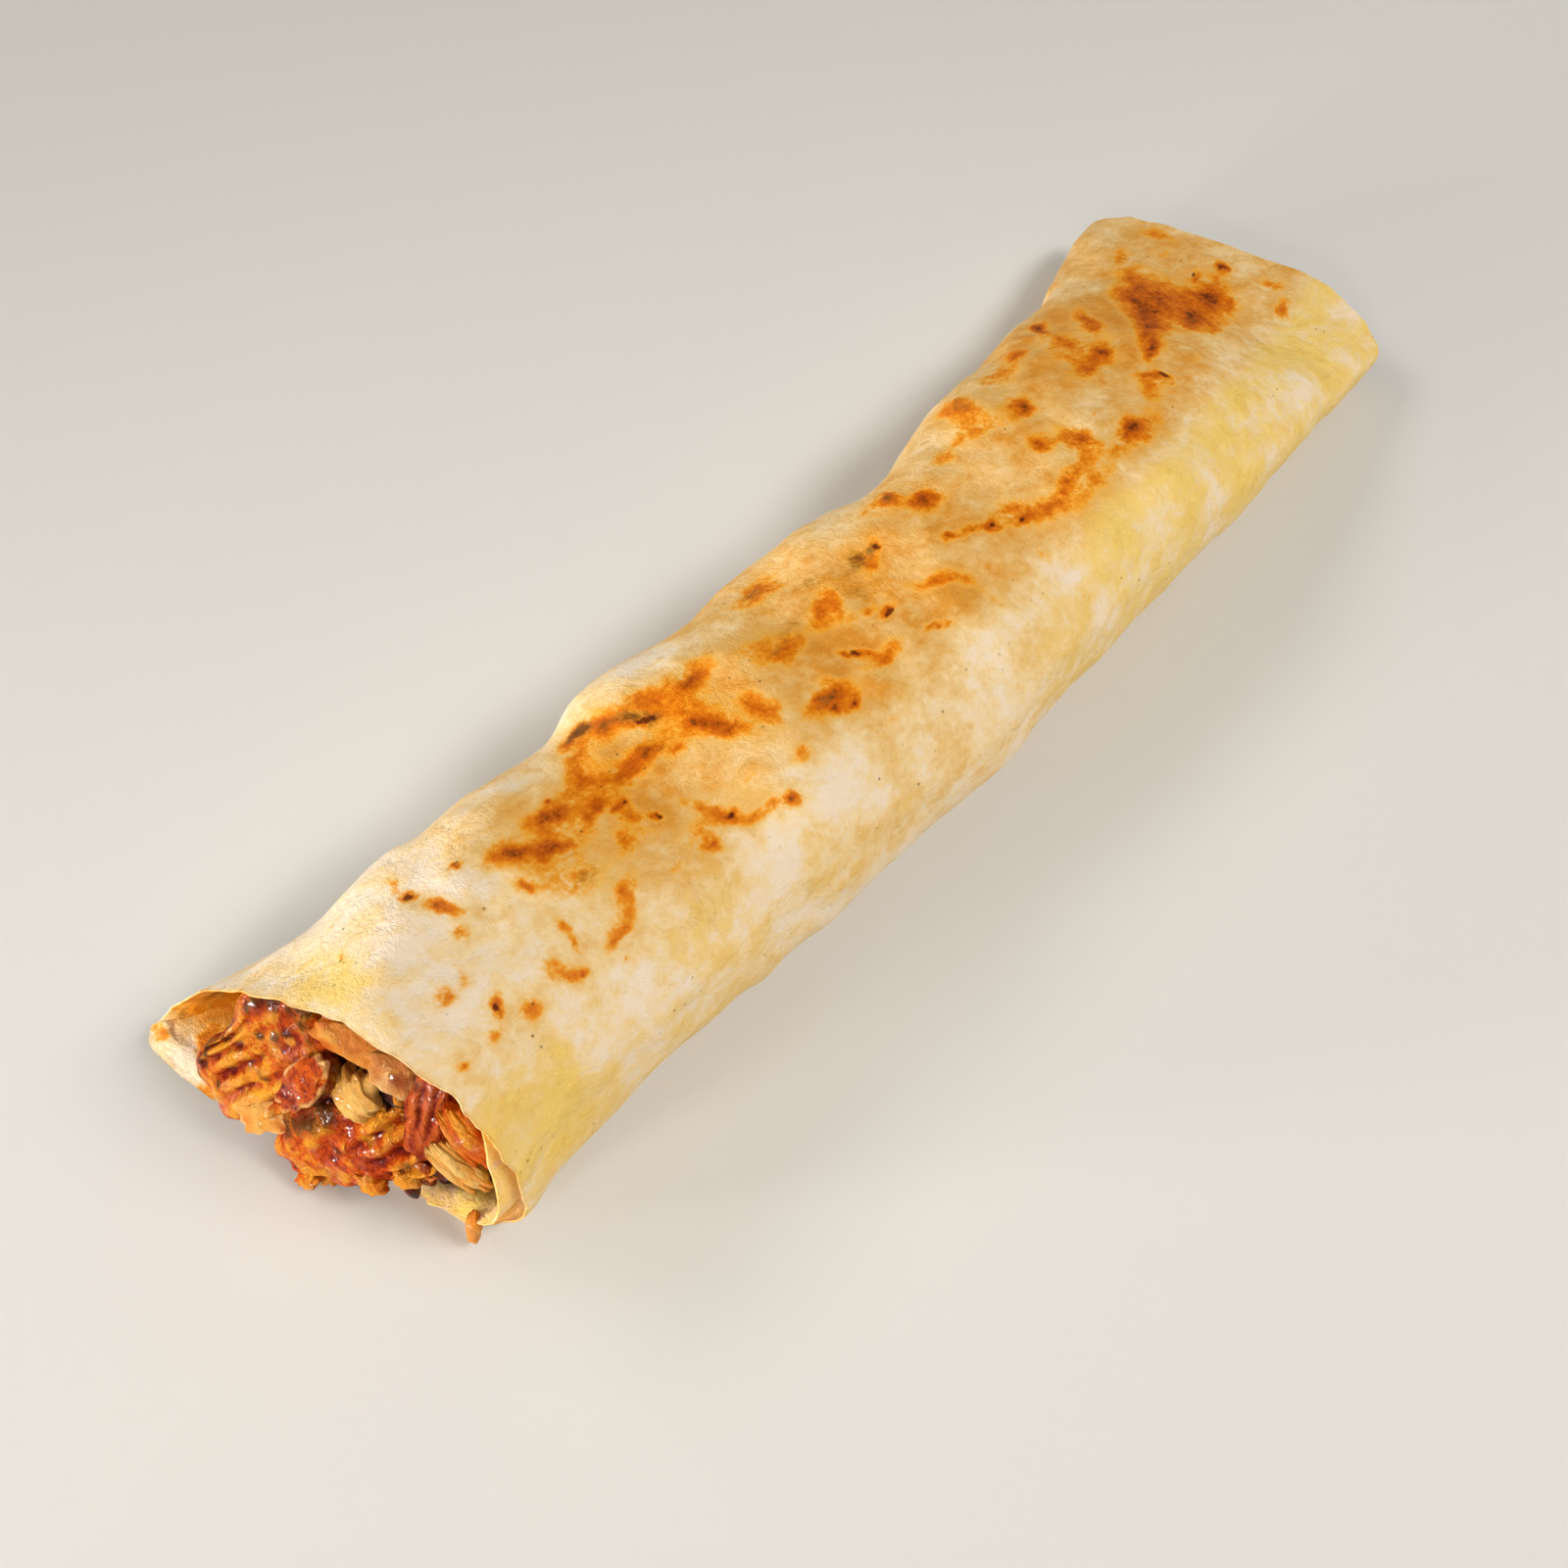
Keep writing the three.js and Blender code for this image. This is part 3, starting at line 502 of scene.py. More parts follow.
def glazed_meat(name, low, flesh, high, gold=(255, 162, 42), stain_and_shade=(56, 6, 0), wet=1.0, coarse=1.0):
    """Grilled meat under sauce: red-brown in its valleys, golden on its ridges, wet in patches."""
    f = Finish(name)
    colours = (low, flesh, high, gold, stain_and_shade)
    low, flesh, high, gold, stain_and_shade = (np.array(colour) * MEAT_SHADE for colour in colours)
    blotch = f.grain(4.2, 5, 0.65, 0.8)
    fine = f.grain(1.15, 4, 0.66, 0.6)
    tiny = f.grain(0.55, 3, 0.6)
    height = f.mixed(f.painted("crest"), (1.2 * coarse, blotch), (0.7 * coarse, fine))
    hue = f.bands(height, (0.05, [v * 0.6 for v in low]), (0.25, low), (0.48, flesh), (0.72, high),
                  (0.95, [v * 1.03 + 6 for v in high]))
    golden = f.step(f.mixed(f.painted("gold"), (0.8, blotch), (0.5, fine)), 0.35, 0.85)
    hue = f.blend(f.times(golden, 0.85), hue, tint(*gold))
    # Dark where sauce has stained it and in the groove bottoms, and at some spots painted shade: hollows and
    # the left slab's top.
    stained = f.step(f.mixed(f.painted("dark"), (1.1, blotch), (1.0, fine)), 0.40, 0.95)
    hue = f.blend(f.times(stained, 0.85), hue, tint(*stain_and_shade))
    torn = f.step(f.mixed(f.painted("rim"), (0.8, blotch), (0.4, fine)), 0.35, 0.9)
    hue = f.blend(f.times(torn, 0.85), hue, tint(214, 160, 96))
    sauce_pools_and_shade = f.step(f.mixed(f.grain(5.5, 2, 0.5, 1.0), (0.5, blotch)), 0.02, 0.11)
    # In the sauce pools the colour is painted deeper: painted shade that offsets the pale floor their coat
    # reflects.
    hue = f.blend(f.times(sauce_pools_and_shade, 0.6 * wet), hue, tint(250, 236, 120), "MULTIPLY")
    bumps = f.dents(blotch, 1.5 * coarse)
    bumps = f.dents(fine, 0.7 * coarse, bumps)
    bumps = f.dents(tiny, 0.25 * coarse, bumps)
    film = f.dents(f.grain(1.3, 1, 0.5, 0.6), 0.28, f.dents(f.grain(4.0, 1, 0.5, 1.2), 2.3))
    f.set(Base_Color=hue, Normal=bumps, Roughness=f.mixed(0.5, (0.3, fine)),
          Coat_Weight=f.mixed(0.04 * wet, (0.42 * wet, sauce_pools_and_shade)), Coat_Roughness=0.07, Coat_IOR=1.7,
          Coat_Normal=film, Specular_IOR_Level=0.05)
    f.soft_within(0.08, (1.0, 0.35, 0.1), 1.0)
    return f.material


# ---- Flatbread ------------------------------------------------------------------------------

BREAD_COLUMNS, BREAD_ROWS = 198, 224
EDGE_ROUND = 190  # about the way round the sheet in one turn
THIN_EDGE, THINNED = 3.5, 0.7


def sheet_depth(turn, x):
    """How far inside the roll's skin the sheet's outer face lies."""
    tucked = smoothstep(TUCK_START, TUCK_END, turn) * (SHEET + LAYER_GAP)
    lifted = bell(turn, 1.1, 0.08) * bell(x, -8, LIP_REACH) * LIP_LIFT
    return tucked + np.where(turn > 1, lifted * smoothstep(1, 1.04, turn), 0)


def spaced(places, closeness, count):
    """`count` places, closer together where `closeness` is greater."""
    walked = np.concatenate([[0], np.cumsum((closeness[1:] + closeness[:-1]) / 2 * np.diff(places))])
    return np.interp(np.linspace(0, walked[-1], count), walked, places)


def turn_columns(count):
    """Turns for the sheet's columns: even along the skin, and closer together where they show."""
    fine = np.linspace(0, TURNS, 3001)
    pace = np.zeros(len(fine))
    for x in (-5.0, 40.0, 120.0, 200.0, 290.0):
        ring = roll_point(np.full_like(fine, x), fine * FULL_TURN, 0.0)
        pace += np.linalg.norm(np.gradient(ring, fine, axis=0), axis=1)
    shown = smoothstep(0.05, 0.12, fine) * smoothstep(0.98, 0.9, fine)
    return spaced(fine, pace * (0.4 + 0.6 * shown), count)


def blot(x, across, at, off, long, wide, lean):
    """Squared distance from the middle of a leaning oval, 1 at its rim."""
    cos, sin = math.cos(math.radians(lean)), math.sin(math.radians(lean))
    dx, ds = x - at, across - off
    return ((dx * cos + ds * sin) / long) ** 2 + ((ds * cos - dx * sin) / wide) ** 2


def scorch_paint(x, across):
    """How strongly each point is scorched, the small round dots of char, and the glow about both."""
    spot = np.stack([x, across, np.zeros_like(x)], axis=-1)
    stir_x, stir_across = 1.5 * crumple(spot, 6, 61), 1.5 * crumple(spot, 6, 67)
    clear, ungilt, dots = np.ones_like(x), np.ones_like(x), np.zeros_like(x)
    for *place, strength in SCORCHES:
        reach = blot(x + stir_x, across + stir_across, *place)
        clear *= 1 - 0.97 * min(strength, 1) * np.exp(-0.85 * reach)
        ungilt *= 1 - 0.5 * min(strength, 1) * np.exp(-0.22 * reach)
        if place[3] < 1.3 and strength > 0.8:
            reach = blot(x + 0.3 * stir_x, across + 0.3 * stir_across, *place)
            dots = np.maximum(dots, np.exp(-1.1 * reach))
    return 1 - clear, dots, 1 - ungilt


def sheet_places(flat):
    """Turn and place along the roll of each point of a flat sheet, and its two cut edges there."""
    turn = turn_columns(BREAD_COLUMNS + 1)[np.rint(flat[:, 0] * BREAD_COLUMNS).astype(int)]
    even = np.linspace(0, 1, 501)
    share = spaced(even, 0.75 + 0.5 * smoothstep(0.45, 0.25, even), BREAD_ROWS + 1)
    share = share[np.rint(flat[:, 1] * BREAD_ROWS).astype(int)]
    edge = np.stack([turn * EDGE_ROUND, np.zeros_like(turn), np.zeros_like(turn)], axis=-1)
    near = along(NEAR_EDGE, turn) + 0.5 * rumple(edge, 7, 11) + 0.35 * rumple(edge, 2.4, 12)
    far = along(FAR_EDGE, turn) + 0.9 * rumple(edge, 12, 13) + 0.4 * rumple(edge, 3.5, 14)
    return turn, near + (far - near) * share, near, far


def sheet_faces(turn, x):
    """The sheet's outer face before and after its small wrinkles are pressed into it."""
    angle = turn * FULL_TURN
    depth = sheet_depth(turn, x)
    smooth = roll_point(x, angle, depth)
    free = smoothstep(0.75, 0.2, np.cos(angle))
    low_right = bell(np.sin(angle), 0.75, 0.4) * smoothstep(0.1, 0.6, np.cos(angle))
    scallops = 0.55 * np.sin(x / 3.1 + 1.3 * np.sin(x / 9.0)) * smoothstep(110, 60, x)
    scallops = scallops + 0.3 * rumple(smooth, 9, 5)
    fine = free * (0.45 * rumple(smooth, 11, 1) + 0.35 * rumple(smooth, 5.2, 2)) + low_right * scallops
    wrinkled = roll_point(x, angle, depth - fine)
    wrinkled[:, 2] = np.maximum(wrinkled[:, 2], depth + 0.02)
    return smooth, wrinkled


def give_wall(bread, from_edge):
    """Thickens the sheet inwards, less so near its cut edges."""
    bpy.ops.object.mode_set(mode="EDIT")
    bpy.ops.mesh.select_all(action="SELECT")
    bpy.ops.mesh.flip_normals()
    bpy.ops.object.mode_set(mode="OBJECT")
    bpy.ops.object.modifier_add(type="SOLIDIFY")
    wall = bread.modifiers[-1]
    wall.thickness = SHEET * MM
    wall.offset = -1
    bpy.ops.object.modifier_apply(modifier=wall.name)

    count = len(from_edge)
    both_faces = points_of(bread)
    thin = THINNED * smoothstep(THIN_EDGE, 0.0, from_edge)[:, None]
    both_faces[count:] += (both_faces[:count] - both_faces[count:]) * thin
    bread.data.vertices.foreach_set("co", both_faces.ravel())


def distance_from_top(outer, turn):
    """Distance round the skin from the top line, to the left of the roll and negative to its right."""
    ring = outer.reshape(BREAD_ROWS + 1, BREAD_COLUMNS + 1, 3)
    walked = np.cumsum(np.linalg.norm(np.diff(ring[:, :, 1:], axis=1), axis=2), axis=1)
    walked = np.concatenate([np.zeros((BREAD_ROWS + 1, 1)), walked], axis=1)
    top = np.abs(turn.reshape(BREAD_ROWS + 1, BREAD_COLUMNS + 1)[0] - 0.5).argmin()
    return (walked - walked[:, [top]]).ravel()


# Where the skin is paler or oilier than round about: strength, then place and reach along the roll
# and across it from the crown.
PALE_PATCHES = [(-0.16, 24, 14, 4, 17), (-0.28, 84, 7, 24, 6)]
OIL_PATCHES = [
    (0.30, 70, 10, -14, 6), (0.6, 0, 8, 6, 15), (0.2, 8, 14, -42, 12), (0.36, 40, 9, -10, 6),
    (0.3, 100, 16, 12, 10),
]


def patches(rows, x, across):
    return sum(share * bell(x, at, long) * bell(across, off, wide) for share, at, long, off, wide in rows)


def paint_bread(bread, turn, x, near, across, skin):
    """Paints scorch, char, toast, oil, smudges, sauce and creases on both faces of the sheet."""
    outside = smoothstep(0.08, 0.14, turn) * smoothstep(0.97, 0.92, turn)
    scorch, dots, glow = scorch_paint(x, across)

    band = smoothstep(-25, -12, across) * smoothstep(14, 60, x)
    tan = 0.20 * outside + 0.2 * band + 0.06 * bell(across, 8, 12) * smoothstep(35, 60, x)
    tan += 0.1 * bell(x, 222, 22) * smoothstep(12, 26, across)
    tan += (0.12 * band * bell(x, 120, 26) + 0.45 * glow) * outside
    tan += patches(PALE_PATCHES, x, across)
    tan -= 0.11 * smoothstep(6, 20, across) * smoothstep(170, 130, x) * outside
    tan += 0.15 * smoothstep(1.1, 0.2, x - near) * outside

    oil = 0.34 * smoothstep(-14, -30, across) * smoothstep(140, 30, x)
    oil += 0.62 * smoothstep(-12, -24, across) * smoothstep(110, 190, x)
    oil += patches(OIL_PATCHES, x, across)

    show = 0.3 * bell(across, 15, 14) * smoothstep(40, 70, x) * smoothstep(160, 130, x)
    for *place, strength in SMUDGES:
        show = np.maximum(show, strength * np.exp(-0.8 * blot(x, across, *place)))

    # The inner face: sauce lies deeper in the roll and on its inner turn, and the lip at the left of the
    # mouth is pale at its tip, with smears of sauce and a dark line of painted shade where it folds.
    # On the inner turn, more soak paints the sauce lighter: painted light on a turn that lies in shade.
    inner_turn = smoothstep(1.0, 1.03, turn)
    lip = smoothstep(0.62, 0.70, turn) * smoothstep(1.0, 0.93, turn)
    # The pocket under the lip is painted darker and golden: partly its colour, partly painted shade of the
    # hollow.
    pocket = bell(turn, 0.68, 0.09) * smoothstep(-20, -9, x) * smoothstep(40, 15, x)
    deep = smoothstep(22, 60, x)
    tip = lip * smoothstep(-9, -17, x)
    stained = bell(x, -9, 6) * bell(turn, 0.88, 0.05)
    soak_in = (0.50 + 0.2 * deep + 0.2 * inner_turn) * (1 - lip * (1 - deep))
    soak_in += lip * (0.3 - 0.4 * pocket + 0.5 * stained) - 0.3 * tip
    smear = 0.45 * smoothstep(-0.05, 0.5, rumple(skin, 3.6, 24)) * lip * smoothstep(-4, -10, x)
    fold_shade = lip * bell(x - near, 3.8 + 25 * (turn - 0.78), 0.9) * bell(turn, 0.77, 0.09)

    # Both faces: sauce on the cut edge, and the edge darkened brown, partly its browned colour and partly
    # painted shade.
    soak = 0.38 * smoothstep(2.0, 0.1, x - near) * smoothstep(0.1, 0.14, turn) * smoothstep(0.5, 0.36, turn)
    cut_edge_shade = 0.5 * smoothstep(0.8, 0.1, x - near)
    plain = np.zeros(len(turn))

    faces = dict(
        scorch=(scorch * outside, smear),
        dot=(dots * outside, plain),
        tan=(tan, 0.2 + 0.44 * lip + 0.9 * pocket - 0.5 * tip),
        oil=(oil, plain),
        show=(show * outside, plain),
        soak=(np.maximum(soak, 0.7 * inner_turn), soak_in),
        crease=(cut_edge_shade, np.maximum(fold_shade, cut_edge_shade)))
    paint(bread, **{name: np.concatenate(outer_and_inner) for name, outer_and_inner in faces.items()})


def rolled_bread():
    bpy.ops.mesh.primitive_grid_add(x_subdivisions=BREAD_COLUMNS, y_subdivisions=BREAD_ROWS, size=1)
    bread = named("bread_rolled")
    turn, x, near, far = sheet_places(points_of(bread) + 0.5)
    smooth, wrinkled = sheet_faces(turn, x)
    shape_to(bread, wrinkled)
    give_wall(bread, np.minimum(x - near, far - x))
    paint_bread(bread, turn, x, near, distance_from_top(wrinkled, turn), smooth)
    finish_with(bread, baked_bread())
    settle(bread, "flatbread")


# ---- Pieces of meat -------------------------------------------------------------------------

LEFT_FACE = (-0.9, -0.19, 0.39)
RIGHT_FACE = (-0.86, -0.3, 0.42)

# Where sauce has caught and darkened, partly painted shade in hollows and on the left slab's top, and where
# the meat shows golden: place and reach.
DARK_STAIN_AND_SHADE_SPOTS = [
    (-17, 55.8, 22.3, 2.2), (-18.9, 56.8, 18.3, 2), (-20.7, 58.2, 14.7, 1.8), (-14.3, 51.9, 26.7, 1.2),
    (-15.9, 53.5, 23.6, 1.4), (-13.3, 47.7, 26.9, 1.4), (-14.8, 49.8, 24.5, 1.2),
    (-12.2, 44.2, 27.8, 1.2), (-13.6, 42.6, 23.9, 1.6), (-16.4, 48.1, 20, 1.2), (-8.6, 39.6, 34.3, 1.4),
    (-9.6, 41.4, 32.7, 1.2), (-5.7, 38.5, 40.3, 2.8), (-5.2, 36, 40.3, 2.6), (-4.6, 33.6, 40.5, 2.2),
    (-8.7, 46.7, 37.3, 2.8), (-7.6, 44.3, 38.7, 2.6), (-10, 48.5, 35, 1.6), (-10.3, 35.8, 28.5, 2),
    (-11.2, 34.7, 25.7, 2.2), (-6.2, 32.3, 36.2, 1.3), (-10.9, 44.5, 31.2, 1.4), (-19, 51.7, 15.8, 1.2),
    (-10.4, 16.9, 19.5, 2), (-9.6, 14.5, 18.5, 2.2), (-9.1, 11.7, 20.1, 1.8), (-3.2, 17.6, 36.5, 2),
    (-2.6, 15.6, 37, 1.8), (-16.8, 37.8, 14.3, 2.6), (-14.2, 33.7, 18.4, 3), (-11.9, 31.3, 22.8, 3.6),
    (-13.4, 23.6, 15.6, 1.3), (-14.5, 27.6, 14.9, 1.6), (-7, 21.4, 29.3, 1.4), (-9.3, 23.2, 25, 1.3),
    (-3.5, 15.8, 28, 1.5), (-7.5, 39.9, 38.8, 2.2), (-7.5, 37, 37.6, 2), (-8, 35.1, 35.3, 1.8),
    (-8.6, 38.8, 35.8, 1.2), (-9.1, 46.2, 38.2, 1.8), (-17.7, 54.7, 22.5, 1.6), (-19.4, 55.7, 19.2, 1.6),
    (-11.2, 33, 22.4, 3.2), (-11.8, 30.6, 21.4, 3.2), (-15.6, 35.3, 17.1, 2.8), (-17.4, 37.1, 14.6, 2.2),
]
GOLD_SPOTS = [
    (-12.5, 48.4, 29.2, 2.2), (-10.7, 41.3, 30.1, 1.8), (-8.9, 38.9, 33.1, 1.2), (-8.6, 43, 35.7, 1.2),
    (-20.1, 54.9, 14.7, 1.8), (-16.9, 45.2, 17.5, 1.6), (-20.7, 52.5, 12.2, 1.6), (-8.2, 33.8, 32.4, 1.4),
    (-11.7, 26.6, 20.9, 1.5), (-15.7, 32.4, 14.3, 1.6), (-18.9, 31.9, 6.7, 2.4), (-16.7, 25.7, 9, 2.2),
    (-11.1, 13.5, 14.2, 2.6), (-7.7, 10.4, 20.8, 2), (-7, 21.7, 25, 2.2), (-4.3, 19, 28.6, 2),
    (-7.7, 20.2, 22.4, 2), (-10.1, 22.7, 19.4, 1.6), (-17.5, 28.9, 8.6, 1.8), (-9.3, 14.2, 14.9, 2.4),
    (-16.2, 25.7, 9, 1.6), (-18.7, 31.6, 8, 1.6), (-16.7, 49.6, 22.5, 1.3), (-14.4, 46.6, 26.2, 1.3),
    (-12.6, 44.1, 29.1, 1.2), (-18, 49.1, 19.2, 1.2), (-15.3, 45.5, 23.6, 1.2), (-13.1, 42.6, 27.4, 1.2),
    (-17.7, 45.9, 18.3, 1.2), (-15.1, 42.6, 22.7, 1.2), (-12.4, 47.1, 31.1, 1.6),
    (-11.9, 44.7, 31.2, 1.4),
]
SPOT_SPREAD = 1.25
PIECE_DEPTH = SHEET + 0.4
BIT_DEPTH = 2 * SHEET + LAYER_GAP + 0.2
CORE_DEPTH = 4


def spotted(points, spots):
    value = np.zeros(len(points))
    for *place, reach in spots:
        away = ((points - place) ** 2).sum(axis=1)
        value = np.maximum(value, np.exp(-away / (SPOT_SPREAD * reach) ** 2))
    return value


def axes_of(lie, face):
    """A piece's axes: along it, across it and out of its face."""
    z = Vector(face).normalized()
    x = (Vector(lie) - z * z.dot(Vector(lie))).normalized()
    return np.array([x, z.cross(x), z])


def lump(at, lie, face, size, seed, boxy=3, crag=0.08, rough=0.5, pitch=0, crest_at=0, lean=0, ridge_depth=0,
         ridge_span=(0, 99), taper=0.0, rim=0.0, tone=0.0, depth=PIECE_DEPTH, detail=5):
    """Adds a rounded block with a broken outline, and ridges where ridge_span (middle, reach) allows.

    It is centred on `at`, with its length along `lie` and its broad side towards `face`. Ridges stand
    `pitch` apart and lean so many degrees off its length, and `taper` draws in one of its corners.
    """
    bpy.ops.mesh.primitive_ico_sphere_add(subdivisions=detail, radius=1)
    piece = bpy.context.object
    ball = points_of(piece)
    half = np.array(size) / 2
    p = ball / (np.abs(ball) ** boxy).sum(axis=1, keepdims=True) ** (1 / boxy)
    px, py, pz = p.T
    broken = 1 + crag * (np.sin(5.1 * px + seed) * np.sin(4.3 * py + 2.3 * seed)
                         + 0.6 * np.sin(9.7 * py - 7.9 * px + 1.7 * seed))
    edge = np.maximum(np.abs(px), np.abs(py))
    grooves = np.zeros_like(px)
    if pitch:
        lean = math.radians(lean)
        way = py * half[1] * math.cos(lean) - px * half[0] * math.sin(lean)
        wave = FULL_TURN * (way - crest_at) / pitch + 0.75 * crumple(p * half, 9, seed + 7, 2)
        shown = bell(px * half[0], *ridge_span) * (0.85 + 0.3 * rumple(p * half, 6, seed + 9))
        grooves = (1 - 2 * np.abs(np.sin(wave / 2)) ** 3) * shown
    drawn_in = 1 - taper * smoothstep(0.8, -0.2, px) * smoothstep(0.1, 0.9, py)
    ridges = np.sign(pz) * ridge_depth * grooves * smoothstep(1, 0.8, edge)
    shaped = np.stack([px * half[0] * broken, py * half[1] * broken * drawn_in, pz * half[2] + ridges],
                      axis=-1)
    shaken = crumple(shaped, 4.4, seed, 4, 2.9)
    shaped += p / np.linalg.norm(p, axis=1, keepdims=True) * (rough * shaken)[:, None]
    placed = keep_inside(shaped @ axes_of(lie, face) + np.array(at), depth)
    shape_to(piece, placed)
    paint(piece, crest=np.clip(0.5 + 0.26 * grooves + 0.22 * shaken + tone, 0, 1),
          rim=rim * smoothstep(0.6, 0.97, edge),
          dark=np.maximum(spotted(placed, DARK_STAIN_AND_SHADE_SPOTS), 0.65 * smoothstep(-0.7, -1, grooves)),
          gold=np.maximum(spotted(placed, GOLD_SPOTS), 0.62 * smoothstep(0.2, 0.9, grooves)))
    return piece


def joined(name, parts):
    bpy.ops.object.select_all(action="DESELECT")
    for part in parts:
        part.select_set(True)
    bpy.context.view_layer.objects.active = parts[0]
    if len(parts) > 1:
        bpy.ops.object.join()
    return named(name)


def around_piece(spec, count, seed, where, size, **more):
    """Smaller lumps set about a piece, at places its own length, width and face give."""
    draw = np.random.default_rng(seed)
    axes = axes_of(spec["lie"], spec["face"])
    made = []
    for i in range(count):
        local, lie, big = where(i, draw)
        made.append(dict(at=tuple(np.array(local) @ axes + spec["at"]), lie=tuple(np.array(lie) @ axes),
                         face=spec["face"], size=tuple(np.array(size) * big), seed=seed + i, **more))
    return made


# Each piece in lump's terms.
PIECES = {
    "meat_flake": dict(
        at=(-17.4, 43.2, 13.8), lie=(0.3, -0.8, 0.5), face=(-0.8, -0.3, 0.5), size=(10, 7, 3.2), seed=5,
        crag=0.1, rough=0.4, rim=1.0, detail=6),
    "meat_leaf": dict(
        at=(-11.7, 33.9, 28.6), lie=(0.43, -0.42, 0.8), face=(-0.88, -0.03, 0.51), size=(17, 7, 2.4), seed=17,
        boxy=2.4, crag=0.12, rough=0.35, rim=0.9, tone=-0.1, detail=6),
    "meat_slab_left": dict(
        at=(-11.6, 45.9, 23.4), lie=(0.42, -0.58, 0.7), face=LEFT_FACE, size=(38, 25.5, 7), seed=3,
        boxy=2.4, crag=0.05, rough=0.75, pitch=3.85, crest_at=2.3, ridge_depth=0.9, ridge_span=(-3, 11),
        taper=0.36, detail=7),
    "chicken_chunk": dict(
        at=(-6.4, 26.7, 26.9), lie=(0.2, 0.1, 0.97), face=RIGHT_FACE, size=(10.2, 8.4, 4.8), seed=2,
        crag=0.16, rough=0.6, tone=0.12, detail=6),
    "meat_slab_right": dict(
        at=(-9.2, 26.9, 14.6), lie=(0.38, -0.81, 0.45), face=RIGHT_FACE, size=(36, 18.5, 8), seed=8,
        boxy=2.6, crag=0.07, rough=1.0, pitch=4.05, crest_at=0.94, lean=25, ridge_depth=1.3,
        ridge_span=(12, 9), detail=7),
    "chicken_slice": dict(
        at=(-2.4, 28.6, 36.6), lie=(0.15, -0.95, 0), face=(-0.7, -0.3, 0.65), size=(15, 7, 4), seed=7,
        tone=-0.2, detail=6),
    "onion_piece": dict(
        at=(-1.6, 20.6, 35), lie=(0.1, -0.9, 0.1), face=(-0.75, -0.3, 0.6), size=(9, 7, 5), seed=9,
        crag=0.1, detail=6),
    "meat_strip_dark": dict(
        at=(-1.8, 13.4, 29), lie=(0.37, -0.03, 0.93), face=(-0.85, -0.4, 0.35), size=(21, 8.5, 5), seed=11,
        pitch=2.3, crest_at=0.5, ridge_depth=0.28, ridge_span=(3, 7), tone=0.15, detail=6),
    "meat_shred_upper": dict(
        at=(-0.6, 5.8, 30.6), lie=(-0.2, 0.35, 0.9), face=(-0.85, -0.5, 0.2), size=(14, 5, 3.8), seed=13,
        boxy=2.4, rough=0.3, detail=6),
    "meat_shred_lower": dict(
        at=(-3.2, 7.2, 21.6), lie=(-0.3, 0.6, 0.7), face=(-0.8, -0.5, 0.3), size=(12, 5, 3.6), seed=4,
        boxy=2.4, rough=0.3, detail=6),
    "meat_shred_hanging": dict(
        at=(-6.4, 3.6, 6.4), lie=(-0.1, 0.05, -1), face=(-0.9, -0.3, 0.2), size=(10, 3, 2.6), seed=6,
        boxy=2.2, rough=0.25, tone=0.3, detail=6),
}

# The meat that each piece is, and its slot.
KINDS = {
    "meat_slab_left": ("grilled_chicken", "grilled_meat"),
    "meat_leaf": ("grilled_chicken", "grilled_meat"),
    "meat_slab_right": ("sauced_chicken", "grilled_meat"),
    "meat_flake": ("pale_chicken", "pale_chicken"),
    "chicken_chunk": ("pale_chicken", "pale_chicken"),
    "chicken_slice": ("pale_chicken", "pale_chicken"),
    "meat_strip_dark": ("dark_sauced_meat", "dark_meat"),
    "onion_piece": ("soft_onion", "onion"),
    "meat_shred_upper": ("orange_chicken", "orange_shreds"),
    "meat_shred_lower": ("pale_chicken", "orange_shreds"),
    "meat_shred_hanging": ("orange_chicken", "orange_shreds"),
}

KNOBS, KNOB_SIZE, KNOB_SEED = 8, (5.6, 3.6, 2.6), 21
STRANDS, STRAND_WIDTH, STRAND_THICKNESS = 6, 2.3, 1.5
STRAND_LENGTHS = {"meat_shred_upper": 13.5, "meat_shred_lower": 11.5}


def along_bottom(i, draw):
    """Knobs along a slab's lower edge: each one's place, lie and size, in the slab's own axes."""
    x = -14 + 3.6 * i
    return ((x, -7.6 - 0.9 * math.sin(i * 2.1), draw.uniform(-1.5, 2.2)), (1, draw.uniform(-0.9, 0.9), 0),
            draw.uniform(0.6, 1.15))


def side_by_side(i, draw):
    """Strands that make up a shred, in the same terms."""
    return ((draw.uniform(-0.8, 0.8), -1.9 + 0.76 * i, 0.8 + draw.uniform(-0.3, 0.3)),
            (1, draw.uniform(-0.13, 0.13), draw.uniform(-0.05, 0.05)), draw.uniform(0.85, 1.1))


def meat_pieces():
    extras = {name: [] for name in PIECES}
    extras["meat_slab_right"] = around_piece(
        PIECES["meat_slab_right"], KNOBS, KNOB_SEED, along_bottom, KNOB_SIZE, boxy=2.3, crag=0.22,
        tone=0.12, rough=0.7)
    for name, long in STRAND_LENGTHS.items():
        extras[name] = around_piece(
            PIECES[name], STRANDS, len(name), side_by_side, (long, STRAND_WIDTH, STRAND_THICKNESS), boxy=2.2,
            crag=0.1, rough=0.3, tone=0.05)

    finishes = {}
    for name, spec in PIECES.items():
        meat, slot = KINDS[name]
        if meat not in finishes:
            finishes[meat] = glazed_meat(meat, **MEATS[meat])
        piece = joined("piece_" + name, [lump(**part) for part in [spec] + extras[name]])
        finish_with(piece, finishes[meat])
        settle(piece, name)


# ---- Filling --------------------------------------------------------------------------------

